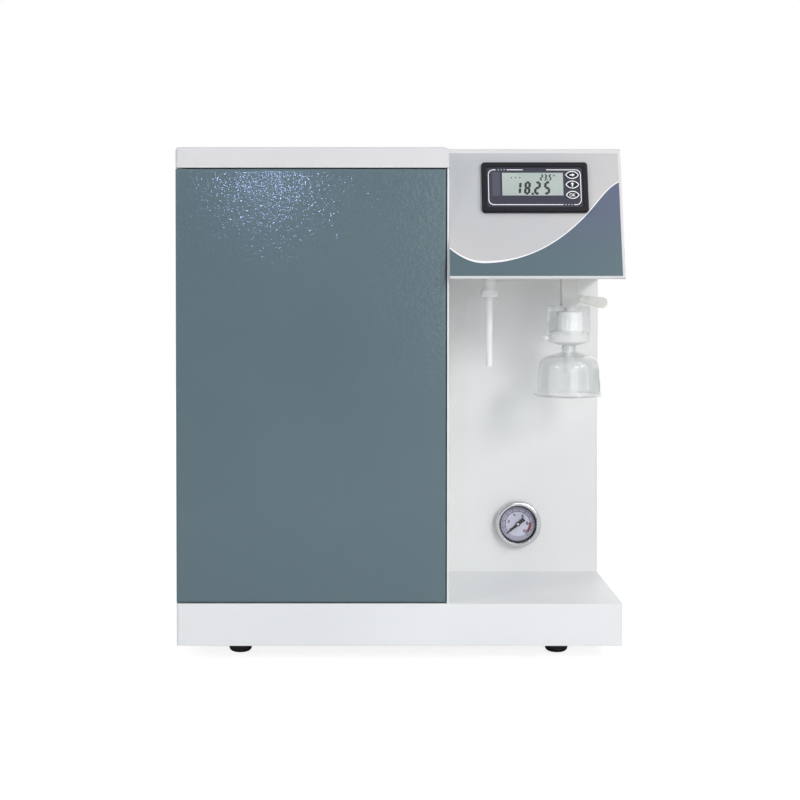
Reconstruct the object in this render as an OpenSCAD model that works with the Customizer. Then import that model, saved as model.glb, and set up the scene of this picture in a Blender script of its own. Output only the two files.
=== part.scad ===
// Bench-top ultrapure water system in a folded steel case. The left cabinet holds the
// cartridges behind a hinged door. On the right, an inclined instrument head overhangs an
// open dispensing bay. Millimetres, +Z up, front towards -Y, origin on the bench under
// the centre of the overall box.

/* [Case] */
// Width over the side panels
case_w = 400; // [390:1:415]
// Depth from the door's face to the rear panel
case_d = 450; // [435:1:470]
// Height from the plinth's underside to the top cover
case_h = 446.5; // [440:0.5:456]
// Thickness of the folded steel sheet
sheet_t = 1.5; // [1.2:0.1:1.8]
// Radius on the upright corners and the cover's edges
corner_r = 3; // [2:0.5:4]
// Height of the plinth
plinth_h = 38; // [35:1:41]
// Width of the left cabinet
cabinet_w = 244; // [242:1:250]
// Depth of the dispensing bay
bay_d = 150; // [147:1:156]
// Width of the returns folded along the panels' edges
flange_w = 14; // [12:1:16]
// Visible gap between neighbouring panels
seam = 0.6; // [0.4:0.1:0.8]
// Clearance of a piece that slips in beside another
slip = 0.2; // [0.1:0.05:0.25]
// Depth of the top cover's skirt and front lip
lip_h = 18.5; // [17:0.5:20]

/* [Door] */
// Depth of the folded door
door_t = 14; // [13:0.5:15]
// Gap round the door
door_gap = 0.9; // [0.8:0.1:1.1]
// Gap behind the door, which its hinged corner swings through
door_back_gap = 2.5; // [2.4:0.1:3]
// Distance of the hinge axis from the door's left and rear faces
pivot_in = 5; // [4.8:0.1:5.2]
// Diameter of the hinge pins
hinge_pin_d = 3; // [2.5:0.1:3.2]
// Radial play of a turning or sliding fit
running = 0.05; // [0.03:0.01:0.08]

/* [Feet] */
// Height of a rubber foot
foot_h = 14; // [12:0.5:16]
// Diameter of a rubber foot
foot_d = 21; // [20:0.5:24]
// Distance of a foot's centre from the case's side
foot_in_x = 54.5; // [45:0.5:60]
// Distance of a foot's centre from the case's front or rear
foot_in_y = 40; // [35:1:50]
// Shank diameter of the case screws
screw_d = 4; // [3.5:0.1:4.2]

/* [Instrument head] */
// Height of the head, from its underside to the top of the case
head_h = 117.8; // [114:0.2:122]
// How far the head's lower edge stands out past the door's face
head_out = 10; // [8:0.5:13]
// Backward lean of the head's face, in degrees
head_lean = 16.1; // [14:0.1:18]
// Bare border left of the printed overlay
overlay_left = 0.4; // [0.3:0.1:1]
// Bare border right of the printed overlay
overlay_margin = 2.4; // [2.1:0.1:3]
// Bare border above the printed overlay
overlay_top = 4.4; // [4:0.1:5]
// Bare border below the printed overlay
overlay_edge = 3; // [2.8:0.1:3.4]
// Thickness of the overlay film
film_t = 0.5; // [0.4:0.05:0.6]
// Height of the printed wave's crest at the right, of its trough and of its left end
wave_v = [91, 15.6, 28.9];

/* [Panel meter] */
// Bezel width
meter_w = 95.5; // [94:0.5:98]
// Bezel height
meter_h = 47.5; // [46.5:0.5:50]
// Meter centre from the middle of the head, to the right
meter_in_x = -0.4; // [-2:0.2:2]
// Meter centre below the head's top edge, along the face
meter_down = 37.7; // [35:0.1:39]
// How far the bezel stands out from the overlay
meter_proud = 4; // [3.5:0.5:6]
// Width of the bezel's rim
rim_w = 4.6; // [4:0.1:5]
// Height that the rim stands above the meter's front plate
rim_step = 1.2; // [1:0.1:1.5]
// Depth of the meter's body behind the face
meter_depth = 70; // [60:1:74]
// Display width
lcd_w = 55; // [53:0.5:56]
// Display height
lcd_h = 21.8; // [20:0.2:23]
// Width of a key
key_w = 12; // [11:0.2:12.6]
// Height of a key
key_h = 7.4; // [6.8:0.1:7.8]
// Travel of a key
key_travel = 0.6; // [0.4:0.1:0.7]

/* [Outlets] */
// Tube diameter
tube_d = 6.35; // [6:0.05:6.4]
// Left outlet from the bay's left side
ro_in_x = 42.2; // [38:0.2:46]
// Right outlet from the head's right side
up_in_x = 39; // [37:0.5:42]
// Length of the left outlet's tube below its collet
ro_tube_l = 62.2; // [50:1:80]
// Width of the valve body
valve_w = 14.6; // [14:0.2:16]
// Height of the valve body below the head
valve_h = 25; // [24:0.5:26]
// Diameter of the final filter's housing
filter_d = 40; // [38:0.5:41]
// Height of the final filter's housing
filter_h = 27.3; // [25:0.5:30]
// Wall of the clear housing and bell
clear_t = 1.6; // [1.4:0.1:1.8]
// Diameter of the membrane core
core_d = 26.6; // [25:0.2:28]
// Length of the nozzle below the filter's base
nozzle_l = 26; // [22:0.5:30]
// Diameter of the nozzle
nozzle_d = 8.4; // [8:0.1:9]
// Diameter of the bell's wall at its widest
bell_d = 59.6; // [56:0.2:62]
// Height of the bell's dome
bell_h = 39.3; // [36:0.1:42]
// Height of the bell's collar
bell_collar_h = 7; // [6:0.1:9]

/* [Pressure gauge] */
// Bezel diameter
gauge_d = 45.2; // [44:0.2:48]
// Gauge centre from the bay's left side
gauge_in_x = 76.8; // [70:0.2:84]
// Gauge centre above the plinth
gauge_up = 48; // [44:0.5:60]
// Depth of the gauge in front of the panel
gauge_proud = 9; // [8.5:0.5:10]
// Pointer's rest direction, in degrees from the right
pointer_zero = 220; // [215:1:230]

/* [Cartridges and pump] */
// Diameter of a cartridge's barrel
cart_d = 60; // [56:0.5:61]
// Length of a cartridge's barrel
cart_l = 270; // [240:1:280]
// Height of a cartridge's end cap
cap_h = 22; // [18:0.5:24]
// Gap between neighbouring cartridge caps
cart_gap = 12; // [10:0.5:13]
// Thickness of a spring clip
clip_t = 2.5; // [2:0.1:3]
// Bend radius of the tubing
tube_bend = 12; // [10:0.5:12]
// Diameter of the pump's motor
motor_d = 60; // [54:1:62]
// Length of the pump's motor
motor_l = 90; // [80:1:100]
// Width of the power supply
supply_w = 98; // [90:1:100]
// Length of the power supply
supply_l = 160; // [150:1:170]
// Height of the power supply
supply_h = 42; // [38:1:50]

/* [Rear fittings] */
// Feed and drain ports above the plinth
port_up = 60; // [52:1:70]
// Inlet and switch above the plinth
inlet_up = 44; // [40:1:54]
// Radius of the rocker's ends about its pivot
rocker_r = 10.5; // [10:0.1:11]
// Tilt of the rocker each way, in degrees
rocker_tilt = 8; // [6:0.5:9]

/* [Hidden] */
$fn = 48;

// Colours
case_white = "#D9DBDA";
door_blue = "#60757B";
overlay_grey = "#C8C8C8";
wave_blue = "#64768A";
meter_navy = "#2A2B38";
clear_grey = [0.85, 0.87, 0.88, 0.45];
part_white = "#E6E6E4";
rubber_black = "#1C1C1E";

// Push-in fitting: barrel, collar, collet and thread
barrel_d = 12;
barrel_l = 10.4;
collar_d = 16.4;
collar_l = 6.5;
thread_d = 10;
thread_l = 12;
sleeve_d = 9.2;
sleeve_l = 8.6;
flange_d = 10.6;
flange_t = 2.1;
collet_travel = 0.7;
collet_gap = collet_travel + 0.3;
fitting_out = barrel_l + collar_l + collet_gap + flange_t;
socket_end = 4;
nut_d = 17;
nut_t = 5;

// Case planes
front_y = -(head_out + case_d + fitting_out) / 2 + head_out;
back_y = front_y + case_d;
bay_y = front_y + bay_d;
left_x = -case_w / 2;
right_x = case_w / 2;
part_x = left_x + cabinet_w;
base_z = foot_h;
floor_z = base_z + plinth_h;
top_z = base_z + case_h;
lip_z = top_z - lip_h;
panel_top_z = lip_z - seam;
cover_in_z = top_z - sheet_t;
frame_y = front_y + door_t + door_back_gap;
rear_in_y = back_y - sheet_t;
tongue_h = 8;
door_right_x = part_x - sheet_t - door_gap;
pivot = [left_x + pivot_in, front_y + door_t - pivot_in];

// Head: the face runs up and back from its lower edge
head_z = top_z - head_h;
head_edge_r = 2;
// The film's lower edge is the foremost point of the whole system
face_y = front_y - head_out - overlay_edge * sin(head_lean) + film_t * cos(head_lean);
face_len = head_h / cos(head_lean);
face_w = right_x - part_x;
meter_u = face_w / 2 + meter_in_x;
meter_v = face_len - meter_down;
cutout_w = meter_w - 4;
cutout_h = meter_h - 3;
window_w = meter_w - 2 * rim_w;
window_h = meter_h - 2 * rim_w;
front_n = film_t + meter_proud - rim_step;
plate_t = 2;
lcd_u = -1.9;
lcd_v = 3;
key_u = 33.6;
key_v = [11.4, 2.3, -7.5];

// Outlets
outlet_y = front_y + bay_d / 2;
ro_x = part_x + ro_in_x;
up_x = right_x - up_in_x;
valve_z = head_z - valve_h;
lever_x = up_x + valve_w / 2 + 4;
lever_z = head_z - 18.7;
spindle_r = 1.5;
ear_t = 2.5;
ear_gap = 6.6;
capsule_z = valve_z - filter_h;
base_h = 6.7;
cone_h = 3.2;
nozzle_z = capsule_z - base_h - cone_h;
rim_z = nozzle_z - bell_collar_h - bell_h;

// Gauge
gauge_x = part_x + gauge_in_x;
gauge_z = floor_z + gauge_up;
gauge_case_d = gauge_d - 4.8;

// Cartridges, left to right, and what stands behind them
cap_d = cart_d + 4;
cart_pitch = cap_d + cart_gap;
clip_back = 6;
clip_reach = clip_back + clip_t + slip + cart_d / 2;
cart_y = bay_y - clip_reach;
cart_x = [for (i = [-1:1]) (left_x + sheet_t + part_x - sheet_t) / 2 + i * cart_pitch];
port_d = 12;
port_l = 10;
cart_foot = 20;
cart_port_z = floor_z + cart_foot;
cart_low_z = cart_port_z + port_l;
cart_top_z = cart_low_z + 2 * cap_h + cart_l + port_l;
clip_in = 50;
clip_zs = [cart_low_z + cap_h + clip_in, cart_low_z + cap_h + cart_l - clip_in];
plate_h = cart_top_z - floor_z + 8;
membrane_x = cart_x[1] + 40;
membrane_y = bay_y + sheet_t + clip_reach;
// The membrane reaches past the head's underside, where its outlets lead
membrane_l = head_z + 53.3 - cart_low_z;
membrane_clip_zs = [clip_zs[0], cart_low_z + membrane_l - cap_h - clip_in];
permeate_z = head_z + 30;
concentrate_z = head_z + 18;
low_run_z = floor_z + 6;
high_run_z = cover_in_z - 20;

// Pump
mount_h = 10;
bracket_t = 2;
pump_x = cart_x[1] + 20;
pump_y = bay_y + 90;
pump_z = floor_z + mount_h + bracket_t + motor_d / 2 + 4;
head_block = [70, 50, 64];
pump_port_y = pump_y + head_block[1] / 2;
pump_port_z = pump_z + head_block[2] / 2 + 4;

// Rear fittings
feed_x = cart_x[0];
drain_x = cart_x[0] + 44.5;
port_z = floor_z + port_up;
solenoid_y = rear_in_y - 28;
solenoid_z = port_z + 55;
inlet_z = floor_z + inlet_up;
inlet_x = right_x - 44;
switch_x = inlet_x - 52;
wiring_room = 50;
rocker_w = 18;
cell_up = sheet_t + nut_t;
cell_z = head_z + sheet_t + thread_l + 10;

// ---- Shared shapes ----

module block(a, b) {
    translate(a) cube(b - a);
}

module rod_x(x0, x1, y, z, r) {
    translate([x0, y, z]) rotate([0, 90, 0]) cylinder(r = r, h = x1 - x0);
}

module rod_y(x, y0, y1, z, r) {
    translate([x, y0, z]) rotate([-90, 0, 0]) cylinder(r = r, h = y1 - y0);
}

module rod_z(x, y, z0, z1, r) {
    translate([x, y, z0]) cylinder(r = r, h = z1 - z0);
}

module rounded_rect(w, d, r) {
    translate([r, 0]) square([w - 2 * r, d]);
    translate([0, r]) square([w, d - 2 * r]);
    for (x = [r, w - r], y = [r, d - r]) translate([x, y]) circle(r);
}

module centred_rect(w, h, r) {
    translate([-w / 2, -h / 2]) rounded_rect(w, h, r);
}

function arc(c, r, a0, a1, n = 6) =
    [for (i = [0:n]) c + r * [cos(a0 + (a1 - a0) * i / n), sin(a0 + (a1 - a0) * i / n)]];

// Cubic that leaves v0 with slope m0 and reaches v1 with slope m1 after a run of h
function hermite(v0, m0, v1, m1, h, t) =
    v0 * (2 * t ^ 3 - 3 * t ^ 2 + 1) + v1 * (3 * t ^ 2 - 2 * t ^ 3)
    + h * (m0 * (t ^ 3 - 2 * t ^ 2 + t) + m1 * (t ^ 3 - t ^ 2));

// Rounds an edge that runs along z, where the piece lies towards -x and -y
module edge_cutter(r, l) {
    difference() {
        translate([-r, -r, -1]) cube([r + 1, r + 1, l + 2]);
        translate([-r, -r, -2]) cylinder(r = r, h = l + 4);
    }
}

// Local axes on the head's face: x to the right, y up the slope, z out of the face
module on_face(u = 0, v = 0) {
    translate([part_x, face_y, head_z]) rotate([90 - head_lean, 0, 0])
        translate([u, v, 0]) children();
}

module at_meter() {
    on_face(meter_u, meter_v) children();
}

// Outline of a key: two arcs that meet in points
module lens(w, h) {
    r = (w ^ 2 / 4 + h ^ 2 / 4) / h;
    intersection() {
        translate([0, r - h / 2]) circle(r);
        translate([0, h / 2 - r]) circle(r);
    }
}

module screw(length) {
    rotate_extrude() polygon(concat(
        [[0, 2.4]], [[1.6, 2.4]], arc([2.3, 1.2], 1.2, 90, 0, 4),
        [[3.5, 0], [screw_d / 2, 0], [screw_d / 2, -length], [0, -length]]));
}

// Push-in tube fitting: +z is outwards from the plate that it is bolted through
module push_fitting() {
    difference() {
        rotate_extrude() polygon([
            [0, -sheet_t - thread_l], [thread_d / 2, -sheet_t - thread_l],
            [thread_d / 2, 0], [barrel_d / 2, 0], [barrel_d / 2, barrel_l],
            [collar_d / 2, barrel_l], [collar_d / 2, barrel_l + collar_l - 1.5],
            [collar_d / 2 - 1.5, barrel_l + collar_l], [0, barrel_l + collar_l]
        ]);
        translate([0, 0, -sheet_t - thread_l - 1])
            cylinder(d = tube_d - 2, h = fitting_out + thread_l + 5);
        translate([0, 0, -socket_end])
            cylinder(r = tube_d / 2 + running, h = fitting_out + socket_end);
        translate([0, 0, barrel_l + collar_l - sleeve_l])
            cylinder(r = sleeve_d / 2 + running, h = sleeve_l + 1);
    }
}

module collet() {
    collar_z = barrel_l + collar_l;
    difference() {
        union() {
            translate([0, 0, collar_z - sleeve_l + collet_travel + 0.4])
                cylinder(d = sleeve_d, h = sleeve_l);
            translate([0, 0, collar_z + collet_gap])
                cylinder(d = flange_d, h = flange_t);
        }
        translate([0, 0, collar_z - sleeve_l])
            cylinder(r = tube_d / 2 + running, h = sleeve_l + collet_gap + flange_t + 1);
    }
}

module bulkhead_nut() {
    translate([0, 0, -sheet_t - nut_t]) difference() {
        cylinder(d = nut_d, h = nut_t, $fn = 6);
        translate([0, 0, -1]) cylinder(r = thread_d / 2 + running, h = nut_t + 2);
    }
}

// Tube along points whose legs run parallel to the axes, with round bends
module tube_path(pts) {
    r = tube_bend;
    last = len(pts) - 1;
    function way(i) = (pts[i + 1] - pts[i]) / norm(pts[i + 1] - pts[i]);
    for (i = [0:last - 1]) {
        d = way(i);
        a = pts[i] + (i == 0 ? 0 : r) * d;
        b = pts[i + 1] - (i == last - 1 ? 0 : r) * d;
        rot = d.z == 0 ? [0, d.x * 90, 0] + (d.y == 0 ? [0, 0, 0] : [-d.y * 90, 0, 0])
            : [d.z > 0 ? 0 : 180, 0, 0];
        translate(a) rotate(rot) cylinder(d = tube_d, h = norm(b - a));
    }
    for (i = [1:last - 1]) {
        a = way(i - 1);
        b = way(i);
        c = cross(a, b);
        o = pts[i] + r * (b - a);
        multmatrix([
            [-b.x, a.x, c.x, o.x], [-b.y, a.y, c.y, o.y], [-b.z, a.z, c.z, o.z]
        ]) rotate_extrude(angle = 90) translate([r, 0]) circle(d = tube_d);
    }
}

// ---- Case ----

rear_screws = [
    for (x = [left_x + flange_w / 2, right_x - flange_w / 2],
        z = [floor_z + 20, (floor_z + panel_top_z) / 2, panel_top_z - 20]) [x, z]
];
cover_screws = [for (x = [left_x + 60, right_x - 60]) [x, panel_top_z + tongue_h]];

module rear_screw_holes() {
    for (p = rear_screws)
        rod_y(p[0], rear_in_y - 2 * sheet_t, back_y + 1, p[1], screw_d / 2 + running);
}

module cover_screw_holes() {
    for (p = cover_screws)
        rod_y(p[0], rear_in_y - 2 * sheet_t, back_y + 1, p[1], screw_d / 2 + running);
}

module plinth() {
    in_r = max(corner_r - sheet_t, 0.2);
    color(case_white) difference() {
        translate([left_x, front_y, base_z])
            linear_extrude(plinth_h) rounded_rect(case_w, case_d, corner_r);
        translate([left_x + sheet_t, front_y + sheet_t, base_z - 1])
            linear_extrude(plinth_h - sheet_t + 1)
                rounded_rect(case_w - 2 * sheet_t, case_d - 2 * sheet_t, in_r);
        rod_z(pivot.x, pivot.y, base_z, floor_z + 1, hinge_pin_d / 2 + running);
    }
}

foot_places = [for (x = [left_x + foot_in_x, right_x - foot_in_x],
    y = [front_y + foot_in_y, back_y - foot_in_y]) [x, y]];

module base_plate() {
    gap = sheet_t + slip;
    slot = [60, 5];
    color(case_white) difference() {
        translate([left_x + gap, front_y + gap, base_z]) linear_extrude(sheet_t)
            rounded_rect(case_w - 2 * gap, case_d - 2 * gap, corner_r);
        for (p = foot_places)
            rod_z(p.x, p.y, base_z - 1, base_z + 5, screw_d / 2 + running);
        for (i = [-3:3])
            translate([-slot[0] / 2, i * 16, base_z - 1]) cube([slot[0], slot[1], 5]);
    }
}

foot_web = 5;

module feet() {
    round_r = 4.5;
    recess_r = 4.2;
    color(rubber_black) for (p = foot_places) translate([p.x, p.y, 0])
        rotate_extrude() polygon(concat(
            [[recess_r, 0]], arc([foot_d / 2 - round_r, round_r], round_r, -90, 0),
            [[foot_d / 2, foot_h], [screw_d / 2 + running, foot_h],
                [screw_d / 2 + running, foot_h - foot_web], [recess_r, foot_h - foot_web]]));
}

module case_screws() {
    color("silver") {
        for (p = foot_places) translate([p.x, p.y, foot_h - foot_web])
            rotate([180, 0, 0]) screw(foot_web + sheet_t + 6);
        for (p = concat(rear_screws, cover_screws)) translate([p[0], back_y, p[1]])
            rotate([-90, 0, 0]) screw(2 * sheet_t + 6);
    }
}

module left_side_panel() {
    color(case_white) difference() {
        union() {
            block([left_x, frame_y, floor_z], [left_x + sheet_t, rear_in_y, panel_top_z]);
            block([left_x, frame_y, floor_z],
                [left_x + flange_w, frame_y + sheet_t, panel_top_z]);
            block([left_x, rear_in_y - sheet_t, floor_z],
                [left_x + flange_w, rear_in_y, panel_top_z]);
            block([left_x, frame_y, floor_z],
                [left_x + flange_w, rear_in_y, floor_z + sheet_t]);
            block([left_x + sheet_t, frame_y, panel_top_z - tongue_h],
                [left_x + 2 * sheet_t, rear_in_y - sheet_t, cover_in_z]);
        }
        rear_screw_holes();
    }
}

module right_side_panel() {
    y0 = bay_y + sheet_t + seam;
    color(case_white) difference() {
        union() {
            block([right_x - sheet_t, y0, floor_z], [right_x, rear_in_y, panel_top_z]);
            block([right_x - sheet_t, bay_y + seam, head_z + seam],
                [right_x, rear_in_y, panel_top_z]);
            block([right_x - flange_w, rear_in_y - sheet_t, floor_z],
                [right_x, rear_in_y, panel_top_z]);
            block([right_x - flange_w, bay_y + flange_w + slip, floor_z],
                [right_x, rear_in_y, floor_z + sheet_t]);
            block([right_x - 2 * sheet_t, y0 + flange_w, panel_top_z - tongue_h],
                [right_x - sheet_t, rear_in_y - sheet_t, cover_in_z]);
        }
        rear_screw_holes();
    }
}

catch_x = part_x - sheet_t - flange_w / 2 - 1;
catch_zs = [floor_z + 100, panel_top_z - 100];

module partition() {
    x0 = part_x - sheet_t;
    color(case_white) difference() {
        union() {
            block([x0, front_y + seam, floor_z], [part_x, frame_y, panel_top_z]);
            block([x0, frame_y, floor_z], [part_x, rear_in_y, cover_in_z]);
            block([x0 - flange_w, frame_y, floor_z],
                [part_x, frame_y + sheet_t, panel_top_z]);
        }
        for (z = catch_zs) rod_y(catch_x, frame_y - 1, frame_y + 5, z, 5 + slip);
        rod_x(x0 - 1, part_x + 1, cart_y, high_run_z, tube_d);
        rod_x(x0 - 1, part_x + 1, membrane_y, permeate_z, tube_d);
        rod_x(x0 - 1, part_x + 1, pump_port_y, gauge_z, tube_d);
    }
}

module bay_back_panel() {
    inner_x = right_x - sheet_t - slip;
    color(case_white) difference() {
        union() {
            block([part_x, bay_y, floor_z], [right_x, bay_y + sheet_t, head_z]);
            block([part_x, bay_y, head_z - 1], [inner_x, bay_y + sheet_t, cover_in_z]);
            block([inner_x - sheet_t, bay_y, floor_z],
                [inner_x, bay_y + flange_w, head_z]);
        }
        rod_y(gauge_x, bay_y - 1, bay_y + 5, gauge_z, gauge_case_d / 2 + slip);
        block([part_x + 25, bay_y - 1, head_z + 16], [up_x - 2, bay_y + 4, head_z + 66]);
    }
}

// One pressed louvre, a quarter-round hood over its slot, open downwards
module louvre(w) {
    r = 5;
    difference() {
        rotate([0, 90, 0]) cylinder(r = r, h = w);
        translate([1, 0, 0]) rotate([0, 90, 0]) cylinder(r = r - 1, h = w - 2);
        translate([-1, -2 * r, -r]) cube([w + 2, 2 * r, 2 * r]);
        translate([-1, -1, -2 * r]) cube([w + 2, 2 * r, 2 * r]);
    }
}

louvre_w = 90;
louvre_places = [for (x = [left_x + 55, part_x + (face_w - louvre_w) / 2 - 3], i = [0:8])
    [x, panel_top_z - 60 - i * 18]];

module rear_panel() {
    color(case_white) difference() {
        union() {
            block([left_x, rear_in_y, floor_z], [right_x, back_y, panel_top_z]);
            block([left_x + flange_w + slip, rear_in_y - sheet_t, panel_top_z - tongue_h],
                [right_x - flange_w - slip, rear_in_y, cover_in_z]);
            for (p = louvre_places) translate([p[0], back_y, p[1]]) louvre(louvre_w);
        }
        for (p = louvre_places) translate([p[0] + 2, rear_in_y - 1, p[1]])
            cube([louvre_w - 4, sheet_t + 2, 3]);
        for (x = [feed_x, drain_x])
            rod_y(x, rear_in_y - 1, back_y + 1, port_z, thread_d / 2 + slip);
        block([inlet_x - 14.2, rear_in_y - 1, inlet_z - 10.2],
            [inlet_x + 14.2, back_y + 1, inlet_z + 10.2]);
        block([switch_x - rocker_w / 2 - 2.2, rear_in_y - 1, inlet_z - rocker_r - 2.7],
            [switch_x + rocker_w / 2 + 2.2, back_y + 1, inlet_z + rocker_r + 2.7]);
        rear_screw_holes();
        cover_screw_holes();
        // Clears the partition, which runs up to the cover
        block([part_x - sheet_t - slip, rear_in_y - 5, panel_top_z - tongue_h - 1],
            [part_x + slip, rear_in_y, cover_in_z + 1]);
    }
}

module top_cover() {
    r = corner_r;
    end_r = 5;
    color(case_white) difference() {
        intersection() {
            hull() for (x = [left_x + r, right_x - r], y = [front_y + r, back_y - r]) {
                translate([x, y, top_z - r]) sphere(r, $fn = 32);
                translate([x, y, lip_z]) cylinder(r = r, h = 1, $fn = 32);
            }
            union() {
                block([left_x, front_y, cover_in_z], [part_x, back_y, top_z]);
                block([left_x, bay_y + seam, cover_in_z], [right_x, back_y, top_z]);
                block([left_x, front_y, lip_z], [left_x + sheet_t, back_y, top_z]);
                block([left_x, rear_in_y, lip_z], [right_x, back_y, top_z]);
                block([right_x - sheet_t, bay_y + seam, lip_z], [right_x, back_y, top_z]);
                // Boxed front lip over the door
                block([left_x, front_y, lip_z], [part_x, front_y + sheet_t, top_z]);
                block([left_x, front_y, lip_z], [part_x, frame_y - seam, lip_z + sheet_t]);
                block([part_x - sheet_t, front_y, lip_z], [part_x, frame_y - seam, top_z]);
            }
        }
        rod_z(pivot.x, pivot.y, lip_z - 1, lip_z + 5, hinge_pin_d / 2 + running);
        cover_screw_holes();
        // Rounds the lip's right-hand end
        difference() {
            block([part_x - end_r, front_y - 1, top_z - end_r],
                [part_x + 1, frame_y - seam, top_z + 1]);
            rod_y(part_x - end_r, front_y - 2, frame_y, top_z - end_r, end_r);
        }
    }
}

// ---- Instrument head ----

module head_profile(inset) {
    a = 90 - head_lean;
    low = [face_y, head_z];
    high = [face_y + head_h * tan(head_lean), top_z];
    r = max(head_edge_r - inset, 0.5);
    // Corner centres lie r + inset inside both edges that they join
    d = r + inset;
    c_low = low + [d / tan(a / 2), d];
    c_high = high + [d / tan(90 - a / 2), -d];
    polygon(concat(
        arc(c_low, r, 270, 180 - head_lean), arc(c_high, r, 180 - head_lean, 90),
        [[bay_y + (inset > 0 ? 1 : 0), top_z - inset],
            [bay_y + (inset > 0 ? 1 : 0), head_z + inset]]));
}

module head_shell() {
    color(case_white) difference() {
        translate([part_x, 0, 0]) rotate([90, 0, 90]) linear_extrude(face_w) head_profile(0);
        translate([part_x + sheet_t, 0, 0]) rotate([90, 0, 90])
            linear_extrude(face_w - 2 * sheet_t) head_profile(sheet_t);
        at_meter() translate([-cutout_w / 2, -cutout_h / 2, -5]) cube([cutout_w, cutout_h, 9]);
        for (x = [ro_x, up_x])
            rod_z(x, outlet_y, head_z - 1, head_z + 5, thread_d / 2 + slip);
        rod_x(part_x - 1, part_x + 5, cart_y, high_run_z, tube_d);
    }
}

overlay_w = face_w - overlay_left - overlay_margin;
overlay_h = face_len - overlay_edge - overlay_top;
// Upper edge of the printed wave: left end, trough, rise and crest, as [u, v, slope].
// The rise passes just under the meter's cut-out.
wave_knots = [
    [overlay_left, wave_v[2], -0.9], [0.197 * face_w, wave_v[1], 0],
    [meter_u + cutout_w / 2 - 1.358, 58.7, 1.05], [face_w - overlay_margin, wave_v[0], 0.4]
];
wave_line = [for (i = [0:2], j = [0:9]) let (
    a = wave_knots[i], b = wave_knots[i + 1], h = b[0] - a[0], t = j / 10
) [a[0] + h * t, hermite(a[1], a[2], b[1], b[2], h, t)]];

module wave_outline() {
    polygon(concat(wave_line, [[face_w - overlay_margin, wave_v[0]],
        [face_w - overlay_margin, overlay_edge], [overlay_left, overlay_edge]]));
}

module meter_hole() {
    translate([meter_u, meter_v]) square([cutout_w, cutout_h], center = true);
}

module panel_overlay() {
    color(overlay_grey) on_face() linear_extrude(film_t) difference() {
        translate([overlay_left, overlay_edge]) square([overlay_w, overlay_h]);
        wave_outline();
        meter_hole();
    }
}

module overlay_wave() {
    color(wave_blue) on_face() linear_extrude(film_t) difference() {
        wave_outline();
        meter_hole();
    }
}

module meter_bezel() {
    edge = 1.2;
    color(meter_navy) at_meter() translate([0, 0, film_t]) difference() {
        hull() {
            linear_extrude(meter_proud - edge) centred_rect(meter_w, meter_h, 3);
            linear_extrude(meter_proud)
                centred_rect(meter_w - 2 * edge, meter_h - 2 * edge, 2.4);
        }
        translate([0, 0, -1]) linear_extrude(meter_proud + 2)
            centred_rect(window_w, window_h, 2);
    }
}

module meter_face() {
    color(meter_navy) at_meter() translate([0, 0, front_n - plate_t])
        linear_extrude(plate_t) difference() {
            centred_rect(window_w - slip, window_h - slip, 2);
            translate([lcd_u, lcd_v]) square([lcd_w, lcd_h], center = true);
            for (v = key_v) translate([key_u, v]) lens(key_w + 0.6, key_h + 0.6);
        }
}

module lcd_display() {
    color("#C5CFC9") at_meter() translate([lcd_u, lcd_v, front_n - plate_t])
        linear_extrude(plate_t - 0.2) square([lcd_w - slip, lcd_h - slip], center = true);
}

module meter_body() {
    pocket = 2;
    color(meter_navy) at_meter() difference() {
        union() {
            translate([0, 0, -meter_depth]) linear_extrude(meter_depth + film_t)
                square([cutout_w - 2 * slip, cutout_h - 2 * slip], center = true);
            linear_extrude(front_n - plate_t)
                centred_rect(window_w - 1, window_h - 1, 2);
        }
        for (v = key_v) translate([key_u, v, front_n - plate_t - pocket])
            linear_extrude(pocket + 1) lens(key_w + 0.6, key_h + 0.6);
        // Terminal strip
        for (v = [-12, 12]) translate([-cutout_w / 2 + 6, v - 4, -meter_depth - 1])
            cube([cutout_w - 12, 8, 7]);
    }
}

module meter_clamps() {
    color("dimgray") at_meter() for (s = [0, 1]) mirror([s, 0, 0])
        translate([cutout_w / 2 - slip, 0, -sheet_t]) difference() {
            translate([0, -9, -32]) cube([5, 18, 32]);
            translate([2, -4, -28]) cube([4, 8, 24]);
        }
}

module key(i) {
    color("#30313F") at_meter() translate([key_u, key_v[i], front_n - plate_t - 0.8])
        linear_extrude(plate_t + 0.8 + key_travel) lens(key_w, key_h);
}

// ---- Dispensing outlets ----

module down_at(x) {
    translate([x, outlet_y, head_z]) rotate([180, 0, 0]) children();
}

module rear_at(x) {
    translate([x, back_y, port_z]) rotate([-90, 0, 0]) children();
}

module ro_outlet_fitting() {
    color(part_white) down_at(ro_x) push_fitting();
}

module ro_outlet_collet() {
    color(part_white) down_at(ro_x) collet();
}

module ro_outlet_tube() {
    l = fitting_out + socket_end + ro_tube_l;
    color("white") down_at(ro_x) translate([0, 0, -socket_end]) difference() {
        cylinder(d = tube_d, h = l);
        translate([0, 0, -1]) cylinder(d = tube_d - 2, h = l + 2);
    }
}

module bulkhead_nuts() {
    color("silver") {
        for (x = [ro_x, up_x]) down_at(x) bulkhead_nut();
        for (x = [feed_x, drain_x]) rear_at(x) bulkhead_nut();
    }
}

filter_stub_r = 4;
filter_stub_l = 7;

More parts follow.
